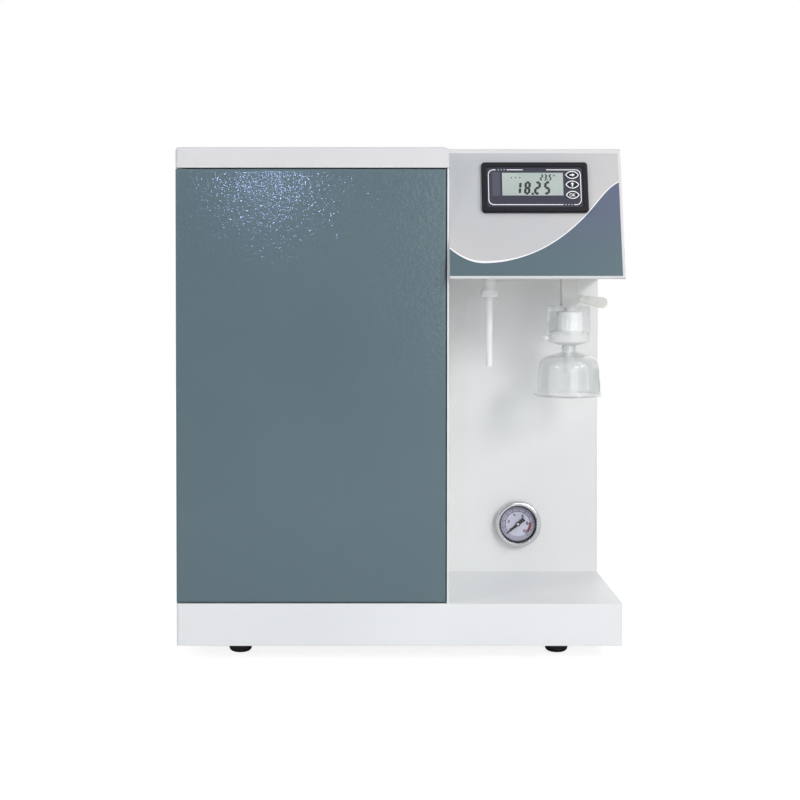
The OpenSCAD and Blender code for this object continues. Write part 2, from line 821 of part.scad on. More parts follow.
module valve_body() {
    bore_r = 2;
    ear_y = outlet_y - ear_gap / 2 - ear_t;
    ear_w = ear_gap + 2 * ear_t;
    color(part_white) difference() {
        union() {
            block([up_x - valve_w / 2, outlet_y - 8, valve_z],
                [up_x + valve_w / 2, outlet_y + 8, head_z]);
            rod_z(up_x, outlet_y, head_z - 1, head_z + sheet_t + thread_l, thread_d / 2);
            block([up_x, ear_y, lever_z - 4], [lever_x, ear_y + ear_w, lever_z + 4]);
            rod_y(lever_x, ear_y, ear_y + ear_w, lever_z, 4);
        }
        block([up_x + valve_w / 2, outlet_y - ear_gap / 2, lever_z - 9],
            [lever_x + 9, outlet_y + ear_gap / 2, lever_z + 9]);
        rod_y(lever_x, ear_y - 1, ear_y + ear_w + 1, lever_z, spindle_r + running);
        rod_z(up_x, outlet_y, valve_z - 1, head_z + 20, bore_r);
        rod_z(up_x, outlet_y, valve_z - 1, valve_z + filter_stub_l + 1,
            filter_stub_r + running);
    }
}

// Handle: a round hub, a tapering arm and a round thumb end, in the hinge's plane
module valve_lever() {
    hub_r = 3.5;
    end_r = 5.2;
    end = [19.5, -3.4];
    t = ear_gap - 0.7;
    color(part_white) difference() {
        translate([lever_x, outlet_y + t / 2, lever_z]) rotate([90, 0, 0])
            linear_extrude(t) {
                circle(hub_r);
                translate(end) circle(end_r);
                polygon([[0, hub_r], end + [-1, end_r - 0.1], end + [0, 0],
                    end + [-1, 0.1 - end_r], [0, -hub_r]]);
            }
        rod_y(lever_x, outlet_y - 10, outlet_y + 10, lever_z, spindle_r);
    }
}

module valve_spindle() {
    half = ear_gap / 2 + ear_t + 0.5;
    color("silver") rod_y(lever_x, outlet_y - half, outlet_y + half, lever_z, spindle_r);
}

tab_w = 9;

// Bayonet tab that stands out to the left of a round flange
module flange_tab(z0, z1) {
    block([up_x - filter_d / 2 - 3.3, outlet_y - tab_w / 2, z0], [up_x, outlet_y + tab_w / 2, z1]);
}

module filter_housing() {
    r = filter_d / 2;
    top_r = 2;
    in_r = r - clear_t;
    color(clear_grey) {
        translate([up_x, outlet_y, 0]) rotate_extrude() polygon(concat(
            [[2, valve_z + filter_stub_l], [filter_stub_r, valve_z + filter_stub_l],
                [filter_stub_r, valve_z]],
            arc([r - top_r, valve_z - top_r], top_r, 90, 0),
            [[r, capsule_z], [in_r, capsule_z], [in_r, valve_z - clear_t],
                [2, valve_z - clear_t]]));
        difference() {
            flange_tab(capsule_z, capsule_z + 2.6);
            rod_z(up_x, outlet_y, capsule_z - 1, valve_z, r - 0.5);
        }
    }
}

module filter_core() {
    r = core_d / 2;
    foot_z = capsule_z + 3;
    cap_z = valve_z - clear_t - 4;
    step_z = cap_z - 6;
    pleats = 20;
    color("white") translate([up_x, outlet_y, 0]) {
        translate([0, 0, foot_z]) cylinder(r = r, h = 2);
        translate([0, 0, foot_z + 2]) linear_extrude(step_z - foot_z - 2) polygon(
            [for (i = [0:2 * pleats - 1]) (r - (i % 2 == 0 ? 0.3 : 1.1))
                * [cos(i * 180 / pleats), sin(i * 180 / pleats)]]);
        translate([0, 0, step_z]) cylinder(r = r - 1.4, h = cap_z - step_z);
        translate([0, 0, cap_z]) cylinder(r = 5, h = 4 - slip);
    }
}

module filter_base() {
    r = filter_d / 2;
    plug_r = r - clear_t - slip;
    nozzle_r = nozzle_d / 2;
    z0 = capsule_z - base_h;
    color([0.9, 0.9, 0.9, 0.8]) difference() {
        union() {
            translate([up_x, outlet_y, 0]) rotate_extrude() polygon(concat(
                [[0, capsule_z + 3], [plug_r, capsule_z + 3], [plug_r, capsule_z],
                    [r - 0.4, capsule_z], [r - 0.4, z0]],
                [[r - 4, z0 - 0.8], [nozzle_r + 4, nozzle_z], [nozzle_r, nozzle_z],
                    [nozzle_r, nozzle_z - nozzle_l], [0, nozzle_z - nozzle_l]]));
            flange_tab(capsule_z - 4.6, capsule_z - 1.6);
        }
        rod_z(up_x, outlet_y, nozzle_z - nozzle_l - 1, capsule_z + 4, 2);
    }
}

// Clear splash bell: collar, domed shoulder, slightly flared wall and a rolled rim
module bell() {
    r = bell_d / 2;
    t = clear_t - 0.2;
    collar_r = 6.7;
    neck_z = nozzle_z - bell_collar_h;
    shoulder = 13;
    // Outer face from the collar down; the inner face is the same line, t inside it
    function face(d) = concat(
        [[collar_r - d, neck_z + 0.6 - d]],
        arc([r - 1.4 - shoulder, neck_z - 2.4 - shoulder], shoulder - d, 84, 0, 8),
        arc([r + 3, rim_z + 3], 3 + d, 180, 262, 5));
    outer = face(0);
    inner = face(t);
    color(clear_grey) translate([up_x, outlet_y, 0]) rotate_extrude() polygon(concat(
        [[nozzle_d / 2 + running, nozzle_z], [collar_r - 0.8, nozzle_z],
            [collar_r, nozzle_z - 0.8]],
        outer, [for (i = [len(inner) - 1:-1:1]) inner[i]],
        [[nozzle_d / 2 + running, inner[1].y + 0.6]]));
}

// ---- Pressure gauge ----

module on_gauge() {
    translate([gauge_x, bay_y, gauge_z]) rotate([90, 0, 0]) children();
}

glass_n = gauge_proud - 2.4;
dial_n = 3;

module gauge_case() {
    r = gauge_case_d / 2;
    back = 26;
    color("silver") on_gauge() difference() {
        union() {
            translate([0, 0, -back]) cylinder(r = r, h = back + glass_n);
            cylinder(r = gauge_d / 2 - 0.8, h = 1.5);
            translate([0, 0, -back - 14]) cylinder(d = port_d, h = 15);
            translate([0, 0, -back - 6]) cylinder(d = 16, h = 7, $fn = 6);
        }
        translate([0, 0, dial_n - 0.8]) cylinder(r = r - 1.1, h = 20);
        translate([0, 0, -8]) cylinder(r = 0.6 + running, h = 20);
        translate([0, 0, -back - 15]) cylinder(d = 4, h = 12);
    }
}

module gauge_dial() {
    color("white") on_gauge() translate([0, 0, dial_n - 0.8]) difference() {
        cylinder(r = gauge_case_d / 2 - 1.1 - slip / 2, h = 0.8);
        translate([0, 0, -1]) cylinder(r = 0.6 + running, h = 4);
    }
}

module gauge_bezel() {
    r = gauge_d / 2;
    in_r = gauge_case_d / 2 + slip / 2;
    lip_r = in_r - 2;
    color("gainsboro") on_gauge() rotate_extrude() polygon(concat(
        [[in_r, 1.5], [r, 1.5]],
        arc([r - 1.8, gauge_proud - 1.8], 1.8, 0, 90, 5),
        [[lip_r + 0.8, gauge_proud], [lip_r, gauge_proud - 0.9],
            [lip_r, glass_n + 1], [in_r, glass_n + 1]]));
}

module gauge_glass() {
    color(clear_grey) on_gauge() translate([0, 0, glass_n])
        cylinder(r = gauge_case_d / 2 - slip / 2, h = 1);
}

// Pointer: a slim tip, a broad tail and a hub on its arbor
module gauge_pointer() {
    tip = 14.5;
    tail = 8;
    color("black") on_gauge() {
        rotate([0, 0, pointer_zero]) translate([0, 0, dial_n + 1.2]) linear_extrude(0.6)
            polygon([[tip, 0.25], [0, 1.1], [-tail, 1.7], [-tail, -1.7], [0, -1.1],
                [tip, -0.25]]);
        translate([0, 0, dial_n + 0.7]) cylinder(r = 2.3, h = 1.6);
        translate([0, 0, -4]) cylinder(r = 0.6, h = dial_n + 5);
    }
}

module gauge_clamp() {
    leg = gauge_case_d / 2 + 1;
    back = 26;
    color("gray") on_gauge() translate([0, 0, -sheet_t]) {
        for (s = [-1, 1]) translate([s > 0 ? leg : -leg - 2, -5, sheet_t - back - 2])
            cube([2, 10, back + 2 - sheet_t]);
        difference() {
            translate([-leg - 2, -5, sheet_t - back - 2]) cube([2 * leg + 4, 10, 2]);
            translate([0, 0, sheet_t - back - 3]) cylinder(d = 18.6, h = 5);
        }
    }
}

// ---- Door ----

door_low_z = floor_z + door_gap;
door_high_z = lip_z - door_gap;
bush_r = 3;
bush_h = 4.5;

module door() {
    back = front_y + door_t;
    r = 2;
    w = door_right_x - left_x;
    h = door_high_z - door_low_z;
    color(door_blue) difference() {
        union() {
            block([left_x, front_y, door_low_z],
                [door_right_x, front_y + sheet_t, door_high_z]);
            for (x = [left_x, door_right_x - sheet_t])
                block([x, front_y, door_low_z], [x + sheet_t, back, door_high_z]);
            for (z = [door_low_z, door_high_z - sheet_t])
                block([left_x, front_y, z], [door_right_x, back, z + sheet_t]);
            block([door_right_x - flange_w, back - sheet_t, door_low_z],
                [door_right_x, back, door_high_z]);
        }
        rod_z(pivot.x, pivot.y, door_low_z - 1, door_high_z + 1, bush_r + slip / 4);
        translate([left_x, front_y, door_low_z]) {
            rotate(180) edge_cutter(r, h);
            rotate([90, 0, 90]) rotate(180) edge_cutter(r, w);
        }
        translate([door_right_x, front_y, door_low_z]) rotate(-90) edge_cutter(r, h);
        translate([left_x, front_y, door_high_z]) rotate([90, 0, 90]) rotate(90)
            edge_cutter(r, w);
    }
}

pin_reach = door_gap + bush_h + 1;

module hinge_pins() {
    r = hinge_pin_d / 2;
    color("silver") {
        rod_z(pivot.x, pivot.y, floor_z - sheet_t, floor_z + pin_reach, r);
        rod_z(pivot.x, pivot.y, floor_z - sheet_t - 1.5, floor_z - sheet_t, r + 1.3);
        rod_z(pivot.x, pivot.y, lip_z - pin_reach, lip_z + sheet_t, r);
        rod_z(pivot.x, pivot.y, lip_z + sheet_t, lip_z + sheet_t + 1.5, r + 1.3);
    }
}

module hinge_bushings() {
    washer_t = door_gap - 0.4;
    color("ivory") for (s = [0, 1])
        translate([pivot.x, pivot.y, s == 0 ? door_low_z : door_high_z])
            mirror([0, 0, s]) difference() {
                union() {
                    cylinder(r = bush_r, h = bush_h);
                    translate([0, 0, -washer_t]) cylinder(r = 4.3, h = washer_t);
                }
                translate([0, 0, -washer_t - 1])
                    cylinder(r = hinge_pin_d / 2 + running, h = bush_h + 3);
            }
}

// Magnets that hold the door's folded return
module door_catches() {
    color("dimgray") for (z = catch_zs) {
        rod_y(catch_x, front_y + door_t + 0.5, frame_y + 8, z, 5);
        rod_y(catch_x, frame_y + sheet_t, frame_y + sheet_t + 3, z, 6.2);
    }
}

// ---- Cartridges and hydraulics ----

module cartridge_plate() {
    x0 = left_x + sheet_t + slip;
    x1 = part_x - sheet_t - slip;
    color(case_white) difference() {
        union() {
            block([x0, bay_y, floor_z], [x1, bay_y + sheet_t, floor_z + plate_h]);
            block([x0 + flange_w, bay_y, floor_z],
                [x1, bay_y + flange_w, floor_z + sheet_t]);
            block([x0, bay_y, floor_z + plate_h - sheet_t],
                [x1, bay_y + flange_w, floor_z + plate_h]);
        }
        block([x0 - 1, bay_y - 1, floor_z - 1],
            [left_x + flange_w + slip, bay_y + 20, floor_z + sheet_t + slip]);
        translate([cart_x[2] - 6, bay_y - 1, floor_z - 1])
            cube([12, flange_w + 2, low_run_z - floor_z + 7]);
    }
}

// Filter cartridge: barrel with ribbed end caps and a port at each end
module cartridge(tint) {
    grips = 16;
    color(tint) {
        translate([0, 0, cap_h]) cylinder(d = cart_d, h = cart_l);
        for (z = [0, cap_h + cart_l]) translate([0, 0, z]) linear_extrude(cap_h) difference() {
            circle(d = cap_d);
            for (i = [0:grips - 1]) rotate(i * 360 / grips) translate([cap_d / 2 + 1.5, 0])
                circle(2.5, $fn = 24);
        }
        for (z = [-port_l, 2 * cap_h + cart_l]) translate([0, 0, z])
            cylinder(d = port_d, h = port_l);
    }
}

module at_cartridge(i) {
    translate([cart_x[i], cart_y, cart_low_z]) children();
}

module sediment_cartridge() {
    at_cartridge(0) cartridge("white");
}

module carbon_cartridge() {
    at_cartridge(1) cartridge("lightgray");
}

module polishing_cartridge() {
    at_cartridge(2) cartridge("#BFD3DE");
}

// Spring clip round a barrel, open to the front, with its foot on the plate
module clip() {
    r = cart_d / 2 + slip;
    linear_extrude(18) difference() {
        union() {
            circle(r + clip_t);
            translate([-12, 0]) square([24, clip_reach]);
        }
        circle(r);
        polygon([[0, 0], [r, -2.4 * r], [-r, -2.4 * r]]);
    }
}

module cartridge_clips() {
    color("gainsboro") for (z = clip_zs, x = cart_x) translate([x, cart_y, z]) clip();
    color("gainsboro") for (z = membrane_clip_zs)
        translate([membrane_x, membrane_y, z]) mirror([0, 1, 0]) clip();
}

module ro_membrane_housing() {
    l = membrane_l;
    color("white") translate([membrane_x, membrane_y, cart_low_z]) {
        translate([0, 0, 12]) cylinder(d = cart_d, h = l - 30);
        cylinder(d = cart_d - 8, h = 14);
        translate([0, 0, l - 20]) cylinder(d = cap_d, h = 20);
        translate([0, 0, l]) cylinder(d = port_d, h = port_l);
        translate([0, 0, -port_l]) cylinder(d = port_d, h = port_l + 1);
        translate([0, 0, permeate_z - cart_low_z]) rotate([0, 90, 0])
            cylinder(d = port_d, h = cap_d / 2 + port_l);
        translate([0, 0, concentrate_z - cart_low_z]) rotate([0, -90, 0])
            cylinder(d = port_d, h = cap_d / 2 + port_l);
    }
}

module booster_pump() {
    y1 = pump_y + head_block[1];
    color("dimgray") {
        translate([pump_x - head_block[0] / 2, pump_y, pump_z - head_block[2] / 2])
            cube(head_block);
        rod_y(pump_x, y1, y1 + 24, pump_z, motor_d / 2 + 3);
        rod_y(pump_x, y1 + 24, y1 + 24 + motor_l, pump_z, motor_d / 2);
        rod_y(pump_x, y1 + 24 + motor_l, y1 + 32 + motor_l, pump_z, 10);
        for (s = [-1, 1]) rod_z(pump_x + s * 20, pump_port_y, pump_z, pump_port_z, port_d / 2);
        rod_x(pump_x, pump_x + head_block[0] / 2 + 4, pump_port_y, gauge_z, port_d / 2);
        // Bracket
        block([pump_x - 38, pump_y, floor_z + mount_h],
            [pump_x + 38, y1 + 20 + motor_l, floor_z + mount_h + bracket_t]);
        for (y = [pump_y + 8, y1 + motor_l]) block([pump_x - 12, y, floor_z + mount_h],
            [pump_x + 12, y + 10, pump_z - 15]);
    }
}

module pump_mounts() {
    color(rubber_black) for (x = [-28, 28], y = [14, head_block[1] + motor_l])
        rod_z(pump_x + x, pump_y + y, floor_z, floor_z + mount_h, 8);
}

module power_supply() {
    x0 = part_x + (face_w - flange_w - supply_w) / 2 + 2;
    y0 = rear_in_y - wiring_room - supply_l;
    color("silver") translate([x0, y0, floor_z]) difference() {
        cube([supply_w, supply_l, supply_h]);
        for (i = [0:8]) translate([10, 20 + i * 14, supply_h - 2]) cube([supply_w - 20, 5, 3]);
    }
}

module solenoid_valve() {
    color("dimgray") {
        translate([feed_x, solenoid_y, solenoid_z]) {
            translate([-13, -13, -12]) cube([26, 26, 24]);
            cylinder(d = port_d, h = 20);
            translate([0, 0, -20]) cylinder(d = port_d, h = 21);
            translate([-12, -45, -12]) cube([24, 33, 24]);
        }
        // Bracket to the rear panel
        block([feed_x - 13, solenoid_y + 12, solenoid_z - 6],
            [feed_x + 13, rear_in_y - 1, solenoid_z - 4]);
        block([feed_x - 13, rear_in_y - 2, solenoid_z - 14],
            [feed_x + 13, rear_in_y, solenoid_z + 14]);
    }
}

// Flow cell on the valve's inlet: its sensor lies towards the rear of the head
module conductivity_cell() {
    z0 = head_z + sheet_t + thread_l;
    color("white") difference() {
        union() {
            rod_z(up_x, outlet_y, z0 - 5, z0 + 18, 8);
            rod_y(up_x, outlet_y, cart_y + 14, cell_z, 7);
            rod_z(up_x, cart_y, cell_z, cell_z + 12, port_d / 2);
        }
        rod_z(up_x, outlet_y, z0 - 6, z0, thread_d / 2 + running);
    }
}

// ---- Rear fittings ----

module power_inlet() {
    color(rubber_black) difference() {
        union() {
            translate([inlet_x - 25, back_y, inlet_z - 12]) cube([50, 2.5, 24]);
            translate([inlet_x - 14, back_y - 24, inlet_z - 10]) cube([28, 25, 20]);
        }
        translate([inlet_x - 12.2, back_y - 15, inlet_z - 8.2]) cube([24.4, 20, 16.4]);
        for (s = [-1, 1]) rod_y(inlet_x + s * 20, back_y - 1, back_y + 5, inlet_z, 1.7);
    }
    color("silver") for (p = [[-7, -2], [7, -2], [0, 3]])
        translate([inlet_x + p[0] - 1, back_y - 15, inlet_z + p[1] - 2]) cube([2, 12, 4]);
}

rocker_y = back_y - 3;
rocker_half = rocker_r + 0.6;

module at_rocker() {
    translate([switch_x, rocker_y, inlet_z]) children();
}

module switch_frame() {
    w = rocker_w + 0.6;
    color(rubber_black) at_rocker() difference() {
        union() {
            translate([-w / 2 - 4, 3, -rocker_half - 4]) cube([w + 8, 2, 2 * rocker_half + 8]);
            translate([-w / 2 - 1.6, -16, -rocker_half - 1.8])
                cube([w + 3.2, 20, 2 * rocker_half + 3.6]);
        }
        translate([-w / 2, -12, -rocker_half]) cube([w, 30, 2 * rocker_half]);
        rod_x(-w / 2 - 1.2, w / 2 + 1.2, 0, 0, 1.2 + running);
    }
}

// Rocker: ends concentric with the pivot, so their gap to the frame stays the same
module power_rocker() {
    color(rubber_black) at_rocker() rotate([-rocker_tilt, 0, 0]) {
        rotate([90, 0, 90]) translate([0, 0, -rocker_w / 2]) linear_extrude(rocker_w)
            intersection() {
                circle(rocker_r);
                polygon([[-4, -rocker_r], [6.5, -rocker_r], [4.4, 0], [6.5, rocker_r],
                    [-4, rocker_r]]);
            }
        rod_x(-rocker_w / 2 - 1, rocker_w / 2 + 1, 0, 0, 1.2);
    }
}

module rear_ports() {
    color(part_white) for (x = [feed_x, drain_x]) rear_at(x) push_fitting();
}

module tubing() {
    port_in_y = rear_in_y - thread_l;
    cell_top = cell_z + 12;
    membrane_top = cart_low_z + membrane_l + port_l;
    side = cap_d / 2 + port_l;
    color("white") {
        // Feed port to the solenoid valve, then over the plate to the sediment cartridge
        tube_path([[feed_x, port_in_y, port_z], [feed_x, solenoid_y, port_z],
            [feed_x, solenoid_y, solenoid_z - 20]]);
        tube_path([[feed_x, solenoid_y, solenoid_z + 20], [feed_x, solenoid_y, high_run_z],
            [feed_x, cart_y, high_run_z], [feed_x, cart_y, cart_top_z]]);
        // Sediment to carbon, and carbon to the pump
        tube_path([[cart_x[0], cart_y, cart_port_z], [cart_x[0], cart_y, low_run_z],
            [cart_x[1], cart_y, low_run_z], [cart_x[1], cart_y, cart_port_z]]);
        tube_path([[cart_x[1], cart_y, cart_top_z], [cart_x[1], cart_y, high_run_z],
            [cart_x[1], pump_port_y, high_run_z], [cart_x[1], pump_port_y, pump_port_z]]);
        // Pump to the membrane
        tube_path([[pump_x + 20, pump_port_y, pump_port_z], [pump_x + 20, pump_port_y, high_run_z],
            [pump_x + 20, membrane_y, high_run_z], [pump_x + 20, membrane_y, membrane_top]]);
        // Membrane to the polishing cartridge, and on to the conductivity cell
        tube_path([[membrane_x, membrane_y, cart_port_z], [membrane_x, membrane_y, low_run_z],
            [cart_x[2], membrane_y, low_run_z], [cart_x[2], cart_y, low_run_z],
            [cart_x[2], cart_y, cart_port_z]]);
        tube_path([[cart_x[2], cart_y, cart_top_z], [cart_x[2], cart_y, high_run_z],
            [up_x, cart_y, high_run_z], [up_x, cart_y, cell_top]]);
        // Membrane to the left outlet, to the drain, and pump to the gauge
        tube_path([[ro_x, outlet_y, head_z + sheet_t + thread_l],
            [ro_x, outlet_y, permeate_z], [ro_x, membrane_y, permeate_z],
            [membrane_x + side, membrane_y, permeate_z]]);
        tube_path([[membrane_x - side, membrane_y, concentrate_z],
            [drain_x, membrane_y, concentrate_z], [drain_x, rear_in_y - 60, concentrate_z],
            [drain_x, rear_in_y - 60, port_z], [drain_x, port_in_y, port_z]]);
        tube_path([[gauge_x, bay_y + 40, gauge_z], [gauge_x, pump_port_y, gauge_z],
            [pump_x + head_block[0] / 2 + 4, pump_port_y, gauge_z]]);
    }
}

plinth();
base_plate();
feet();
case_screws();
left_side_panel();
right_side_panel();
partition();
bay_back_panel();
rear_panel();
top_cover();
head_shell();
panel_overlay();
overlay_wave();
meter_bezel();
meter_face();
lcd_display();
meter_body();
meter_clamps();
key(0);  // key_next
key(1);  // key_up
key(2);  // key_ok
ro_outlet_fitting();
ro_outlet_collet();
ro_outlet_tube();
bulkhead_nuts();
valve_body();
valve_lever();
valve_spindle();
filter_housing();
filter_core();
filter_base();
bell();
gauge_case();
gauge_bezel();
gauge_dial();
gauge_pointer();
gauge_glass();
gauge_clamp();
door();
hinge_pins();
hinge_bushings();
door_catches();
cartridge_plate();
sediment_cartridge();
carbon_cartridge();
polishing_cartridge();
cartridge_clips();
ro_membrane_housing();
booster_pump();
pump_mounts();
power_supply();
solenoid_valve();
conductivity_cell();
power_inlet();
switch_frame();
power_rocker();
rear_ports();
rear_at(feed_x) collet();  // feed_collet
rear_at(drain_x) collet();  // drain_collet
tubing();
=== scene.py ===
# %% [markdown]
# # A bench-top ultrapure water system
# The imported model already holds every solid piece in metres. This lesson gives each of
# them the finish that its real material has, adds the print and the markings that are
# too thin to be solids, and lights the whole for one camera.

# %% Load the frame
import math

import bmesh
import bpy
from mathutils import Matrix, Vector


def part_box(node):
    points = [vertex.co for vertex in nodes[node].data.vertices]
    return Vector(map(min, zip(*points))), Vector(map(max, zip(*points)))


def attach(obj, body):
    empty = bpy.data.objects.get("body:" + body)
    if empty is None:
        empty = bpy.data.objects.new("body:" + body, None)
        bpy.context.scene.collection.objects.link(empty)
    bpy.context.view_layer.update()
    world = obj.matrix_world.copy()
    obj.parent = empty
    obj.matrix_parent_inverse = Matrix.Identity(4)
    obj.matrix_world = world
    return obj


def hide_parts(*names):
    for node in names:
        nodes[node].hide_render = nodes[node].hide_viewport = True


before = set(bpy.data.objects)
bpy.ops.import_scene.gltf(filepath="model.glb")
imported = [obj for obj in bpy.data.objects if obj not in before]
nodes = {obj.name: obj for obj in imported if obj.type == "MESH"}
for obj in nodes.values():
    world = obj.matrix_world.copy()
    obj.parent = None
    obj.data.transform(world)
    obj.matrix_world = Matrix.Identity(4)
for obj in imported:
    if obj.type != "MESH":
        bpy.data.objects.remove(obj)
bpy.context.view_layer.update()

# %% [markdown]
# ## The camera
# The photograph was taken from about the height of the bay's ceiling, 1.4 m in front of
# the door and slightly left of the middle. The upright edges stay almost parallel, so the
# camera looks down by only a degree. A small shift brings the picture's frame to where
# the photograph has it, without turning the camera.

# %% Camera
MM = 0.001
view = bpy.data.cameras.new("bench_view")
view.sensor_width = 36
view.lens = 68.8
view.shift_x = 0.0471
view.shift_y = -0.1129
view.clip_start = 0.05
camera = bpy.data.objects.new("bench_view", view)
camera.location = (-33.3 * MM, -1593.9 * MM, 344.5 * MM)
camera.rotation_euler = (math.radians(90 - 1.22), 0, 0)
bpy.context.scene.collection.objects.link(camera)
bpy.context.scene.camera = camera
print("camera", tuple(round(v, 3) for v in camera.location))

# %% [markdown]
# ## Small helpers
# Colours are written as the hex values that a paint chart gives, in sRGB. Blender's
# shaders want them linear, so one function turns them. Another adds one node to a
# material, with its settings, its values and its links in a single call.

# %% Helpers for colours and nodes
def linear(hex_colour):
    parts = [int(hex_colour[i:i + 2], 16) / 255 for i in (1, 3, 5)]
    return tuple(c / 12.92 if c < 0.04045 else ((c + 0.055) / 1.055) ** 2.4
                 for c in parts) + (1.0,)


def add(tree, kind, values=None, links=None, **settings):
    """One node: settings are its own options, values and links go to its inputs."""
    node = tree.nodes.new(kind)
    for name, setting in settings.items():
        setattr(node, name, setting)
    for name, value in (values or {}).items():
        node.inputs[name].default_value = value
    for name, socket in (links or {}).items():
        tree.links.new(socket, node.inputs[name])
    return node


def new_finish(name, colour, roughness, **values):
    """A material with a bare Principled shader; values are its socket names."""
    material = bpy.data.materials.new(name)
    material.use_nodes = True
    tree = material.node_tree
    shader = tree.nodes["Principled BSDF"]
    shader.inputs["Base Color"].default_value = linear(colour)
    shader.inputs["Roughness"].default_value = roughness
    for socket, value in values.items():
        shader.inputs[socket.replace("_", " ")].default_value = value
    return material, tree, shader


def per_mm(size):
    """Noise scale whose features are about this many millimetres wide."""
    return 1.0 / (size * MM)


def wear(material, *names):
    """Gives a finish to solids of the frame."""
    for name in names:
        mesh = nodes[name].data
        if not mesh.materials:
            mesh.materials.append(material)
        for i in range(len(mesh.materials)):
            mesh.materials[i] = material
    print(material.name, "on", ", ".join(names))


# %% [markdown]
# ## Powder-coated steel: the case
# The plinth, cover and panels are folded steel sheet with an off-white polyester powder
# coat. Baked powder flows out with a faint orange peel, bumps about 1.5 mm across and a
# few hundredths high, which softens every reflection. The folds have a small radius, so
# a Bevel node rounds the shading of the sharp CAD edges by 0.6 mm. The photograph shows
# the plinth cooler, the bay's wall warmer, and cover and head a little darker, so the
# one coat comes in three close shades.

# %% Off-white powder coat
def rounded(tree, radius_mm):
    return add(tree, "ShaderNodeBevel", {"Radius": radius_mm * MM}, samples=6)


def orange_peel(tree, shader, width_mm, height_mm, radius_mm=0.6):
    """Soft bumps of a flowed coat, on top of the rounded folds."""
    place = add(tree, "ShaderNodeTexCoord")
    peel = add(tree, "ShaderNodeTexNoise", {"Scale": per_mm(width_mm), "Detail": 2.0,
               "Roughness": 0.5}, {"Vector": place.outputs["Object"]})
    fold = rounded(tree, radius_mm)
    bump = add(tree, "ShaderNodeBump", {"Strength": 0.35, "Distance": height_mm * MM},
               {"Height": peel.outputs["Fac"], "Normal": fold.outputs["Normal"]})
    tree.links.new(bump.outputs["Normal"], shader.inputs["Normal"])
    return place


def drift(tree, shader, place, pale, deep, width_mm):
    """A slow change of colour over the surface, between two close shades."""
    cloud = add(tree, "ShaderNodeTexNoise", {"Scale": per_mm(width_mm), "Detail": 3.0},
                {"Vector": place.outputs["Object"]})
    ramp = add(tree, "ShaderNodeValToRGB", links={"Fac": cloud.outputs["Fac"]})
    ramp.color_ramp.elements[0].position = 0.35
    ramp.color_ramp.elements[0].color = linear(deep)
    ramp.color_ramp.elements[1].position = 0.65
    ramp.color_ramp.elements[1].color = linear(pale)
    tree.links.new(ramp.outputs["Color"], shader.inputs["Base Color"])


for name, pale, deep, worn in (
        ("cool_white_powder_coat", "#EDEFF0", "#E9EBEC", ("plinth", "partition")),
        ("warm_white_powder_coat", "#E9EAE9", "#E5E6E5",
         ("left_side_panel", "right_side_panel", "bay_back_panel", "rear_panel",
          "cartridge_plate")),
        ("off_white_powder_coat", "#DBDBDC", "#D7D7D8", ("top_cover", "head_shell"))):
    case_coat, tree, shader = new_finish(name, pale, 0.5, IOR=1.5)
    place = orange_peel(tree, shader, width_mm=1.5, height_mm=0.04)
    drift(tree, shader, place, pale, deep, width_mm=130)
    wear(case_coat, *worn)

# %% [markdown]
# ## Textured powder coat: the door
# The door has a blue-grey coat with a fine texture. Its body scatters light evenly, but
# the skin of the baked resin is glossy and lies in tiny hills about 2.6 mm wide, whose
# sides slope by a few degrees. Around the place where a small lamp is mirrored, the
# hills that face it flash, which the photograph shows as sparkle. So the shader's coat
# carries the hills at full height, as a normal of its own, and the matt body below
# carries them much lower, which leaves only a faint mottle away from the lamp.

# %% Blue-grey textured coat
HILL_WIDTH, SKIN_HEIGHT, BODY_HEIGHT = 2.6, 0.17, 0.05
door_coat, tree, shader = new_finish("blue_grey_textured_coat", "#5C7077", 0.55, IOR=1.5,
                                     Specular_IOR_Level=0.3, Coat_Weight=0.45,
                                     Coat_Roughness=0.08, Coat_IOR=1.5)
place = add(tree, "ShaderNodeTexCoord")
hills = add(tree, "ShaderNodeTexNoise", {"Scale": per_mm(HILL_WIDTH), "Detail": 1.0},
            {"Vector": place.outputs["Object"]})
fold = rounded(tree, 0.8)
skin = add(tree, "ShaderNodeBump", {"Strength": 1.0, "Distance": SKIN_HEIGHT * MM},
           {"Height": hills.outputs["Fac"], "Normal": fold.outputs["Normal"]})
body = add(tree, "ShaderNodeBump", {"Strength": 1.0, "Distance": BODY_HEIGHT * MM},
           {"Height": hills.outputs["Fac"], "Normal": fold.outputs["Normal"]})
tree.links.new(skin.outputs["Normal"], shader.inputs["Coat Normal"])
tree.links.new(body.outputs["Normal"], shader.inputs["Normal"])
drift(tree, shader, place, "#5C7077", "#5A6E76", width_mm=90)
wear(door_coat, "door")

# %% [markdown]
# ## The head's printed film
# The head's face carries a polyester film, printed on its back, so the colours lie under
# a smooth satin sheet. It is light grey above, and blue-grey below a wave. Film is a
# little glossier than the coat round it and reflects more evenly.

# %% Film finishes
film_grey, tree, shader = new_finish("satin_polyester_film_grey", "#BFC0C1", 0.34, IOR=1.57)
place = add(tree, "ShaderNodeTexCoord")
haze = add(tree, "ShaderNodeTexNoise", {"Scale": per_mm(0.9), "Detail": 1.0},
           {"Vector": place.outputs["Object"]})
bump = add(tree, "ShaderNodeBump", {"Strength": 0.12, "Distance": 0.02 * MM},
           {"Height": haze.outputs["Fac"]})
tree.links.new(bump.outputs["Normal"], shader.inputs["Normal"])
drift(tree, shader, place, "#C4C2C2", "#BABDC0", width_mm=90)
wear(film_grey, "panel_overlay")

film_blue, tree, shader = new_finish("satin_polyester_film_blue", "#57697A", 0.34, IOR=1.57,
                                     Specular_IOR_Level=0.35)
place = add(tree, "ShaderNodeTexCoord")
